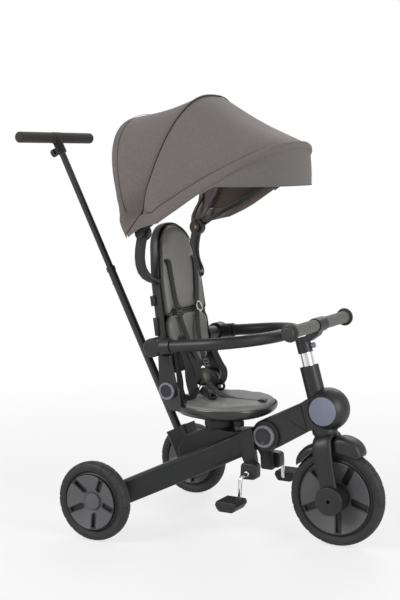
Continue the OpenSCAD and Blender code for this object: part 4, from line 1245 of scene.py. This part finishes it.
HIP_BEND = (on_back(0, 40, 6), on_back(0, -24, 30))
WAIST_BEND = (on_back(0, 60, 12), on_back(0, -20, 30))
webbing([on_back(-88, 66, -1), on_back(-86, 58, 4.5), on_back(-86, 40, 7), on_back(-88, 14, 9),
         at(152, -89, 392), at(154, -90, 366), at(164, -94, 349), at(176, -92, 347.6),
         at(184, -78, 351), at(186, -58, 360), at(182, -40, 371), at(178, -26, 379), at(175, -14, 385)],
        [(0, 0.2, 1), (0, 1, 0.3), (0, 1, 0), (0, 1, 0), (0.2, 1, 0), (0.4, 1, 0), (0.7, 0.8, 0.2),
         (0.8, 0.4, 0.5), (0.5, 0, 1), (0.3, 0.1, 1), (0.2, 0.2, 1), (0.1, 0.2, 1), (0, 0, 1)],
        "hip_strap_right", "backrest", 22, HIP_BEND)
webbing([on_back(88, 66, -1), on_back(86, 58, 4.5), on_back(84, 44, 10), on_back(84, 26, 22),
         at(170, 92, 412), at(181, 94, 394), at(183, 92, 374), at(176, 84, 358), at(178, 66, 355),
         at(184, 48, 362), at(181, 30, 373), at(176, 16, 384)],
        [(0, 0.2, 1), (0, 1, 0.3), (0, 1, 0), (0.2, 1, 0), (0.3, 1, 0), (0.3, 1, 0), (0.3, 1, 0),
         (0.6, 0.8, 0.3), (0.6, 0.2, 0.8), (0.4, 0, 1), (0.2, 0, 1), (0, 0, 1)],
        "hip_strap_left", "backrest", 22, HIP_BEND)
webbing([at(341, 0, 342.6), at(330, 0, 341.2), at(300, 0, 340.8), at(262, 0, 341), at(236, 0, 344),
         at(214, 0, 352), at(197, 0, 364), at(184, 0, 376)], (0, 1, 0), "crotch_strap", "seat", 24)
webbing([on_back(-74, 92, 1), on_back(-72, 82, 6), on_back(-68, 58, 14), on_back(-64, 32, 21),
         on_back(-62, 6, 27), at(168, -64, 396), at(177, -68, 372), at(186, -70, 354)],
        [(0.1, 1, 0.2), (0.1, 1, 0), (0.1, 1, 0), (0.1, 1, 0), (0.2, 1, 0), (0.3, 1, 0), (0.4, 1, 0),
         (0.5, 1, 0)], "waist_strap_right", "backrest", 34, WAIST_BEND)
webbing([on_back(-46, 84, 2), on_back(-46, 74, 8), on_back(-44, 50, 18), on_back(-40, 24, 27),
         on_back(-36, 0, 33), at(176, -34, 396), at(180, -30, 380)],
        [(0, 1, 0.2), (0, 1, 0), (0, 1, 0.1), (0, 1, 0.1), (0.1, 1, 0.2), (0.1, 1, 0.3), (0.2, 1, 0.4)],
        "waist_strap_inner", "backrest", 30, WAIST_BEND)
webbing([at(188, -46, 366), at(206, -52, 357), at(222, -54, 350), at(232, -52, 346.5)],
        [(0.2, 0.4, 1), (0.2, 0.9, 0.4), (0.1, 1, 0), (0, 1, 0)], "hip_strap_tail", "seat", 20)
clip = slab(rounded([(331, 340.5, 2), (352, 341, 3), (350, 346.4, 3), (338, 347.6, 2), (330, 344, 2)], 3),
            -9, 9, 1.2)
nose = slab(rounded([(326, 340.8, 1), (336, 340.8, 1), (334, 345, 2), (328, 343.4, 1)], 2), -13, 13, 0.8)
made(joined(clip, nose), "crotch_clip", "seat", "buckle")
for name, where, tilt in (("strap_hook_left", at(196, 50, 358), 70),
                          ("strap_hook_right", at(226, -53, 351.4), 20)):
    place = Matrix.Translation(where) @ Matrix.Rotation(math.radians(20), 4, "Y")
    hook = turned([(5.2, 0), (6, 3.2), (8.6, 4.6), (11.2, 3.2), (12, 0), (11.2, -3.2), (8.6, -4.6),
                   (6, -3.2)], place @ Matrix.Rotation(math.radians(tilt), 4, "X"), 28, closed=True)
    made(hook, name, "seat", "gloss_black")

FACING = (BUCKLE @ Matrix.Translation(mm(0, 0, 1.5)) @ Matrix.Rotation(math.radians(17), 4, "Y")
          @ Matrix.Rotation(math.radians(9), 4, "X"))
case = drawn([[FACING @ mm(p[0], p[1], n) for p in oval(23 - inset, 26 - inset, 40, 2.3)]
              for n, inset in ((-7, 9), (-7, 4), (-6, 1.2), (-4, 0), (2.6, 0), (4.8, 0.9), (6, 2.8),
                               (6.3, 5), (6.1, 7.4), (5.2, 8.2))])
made(case, "buckle_case", "seat", "buckle", "buckle", crease=50)
rim = turned([(12.4, 4.2), (12.4, 6.4), (13, 7.2), (14.4, 7.2), (15, 6.4), (15, 4.2)],
             FACING, 40, closed=True)
made(rim, "buckle_ring", "seat", "button_olive")
button = turned([(0, 2.6), (9.6, 2.6), (10.4, 5.4), (10.2, 6.6), (9.2, 7.2), (5, 7), (0, 6.8)], FACING, 40)
made(button, "buckle_button_cap", "seat", "button_olive", "buckle_button", crease=50)
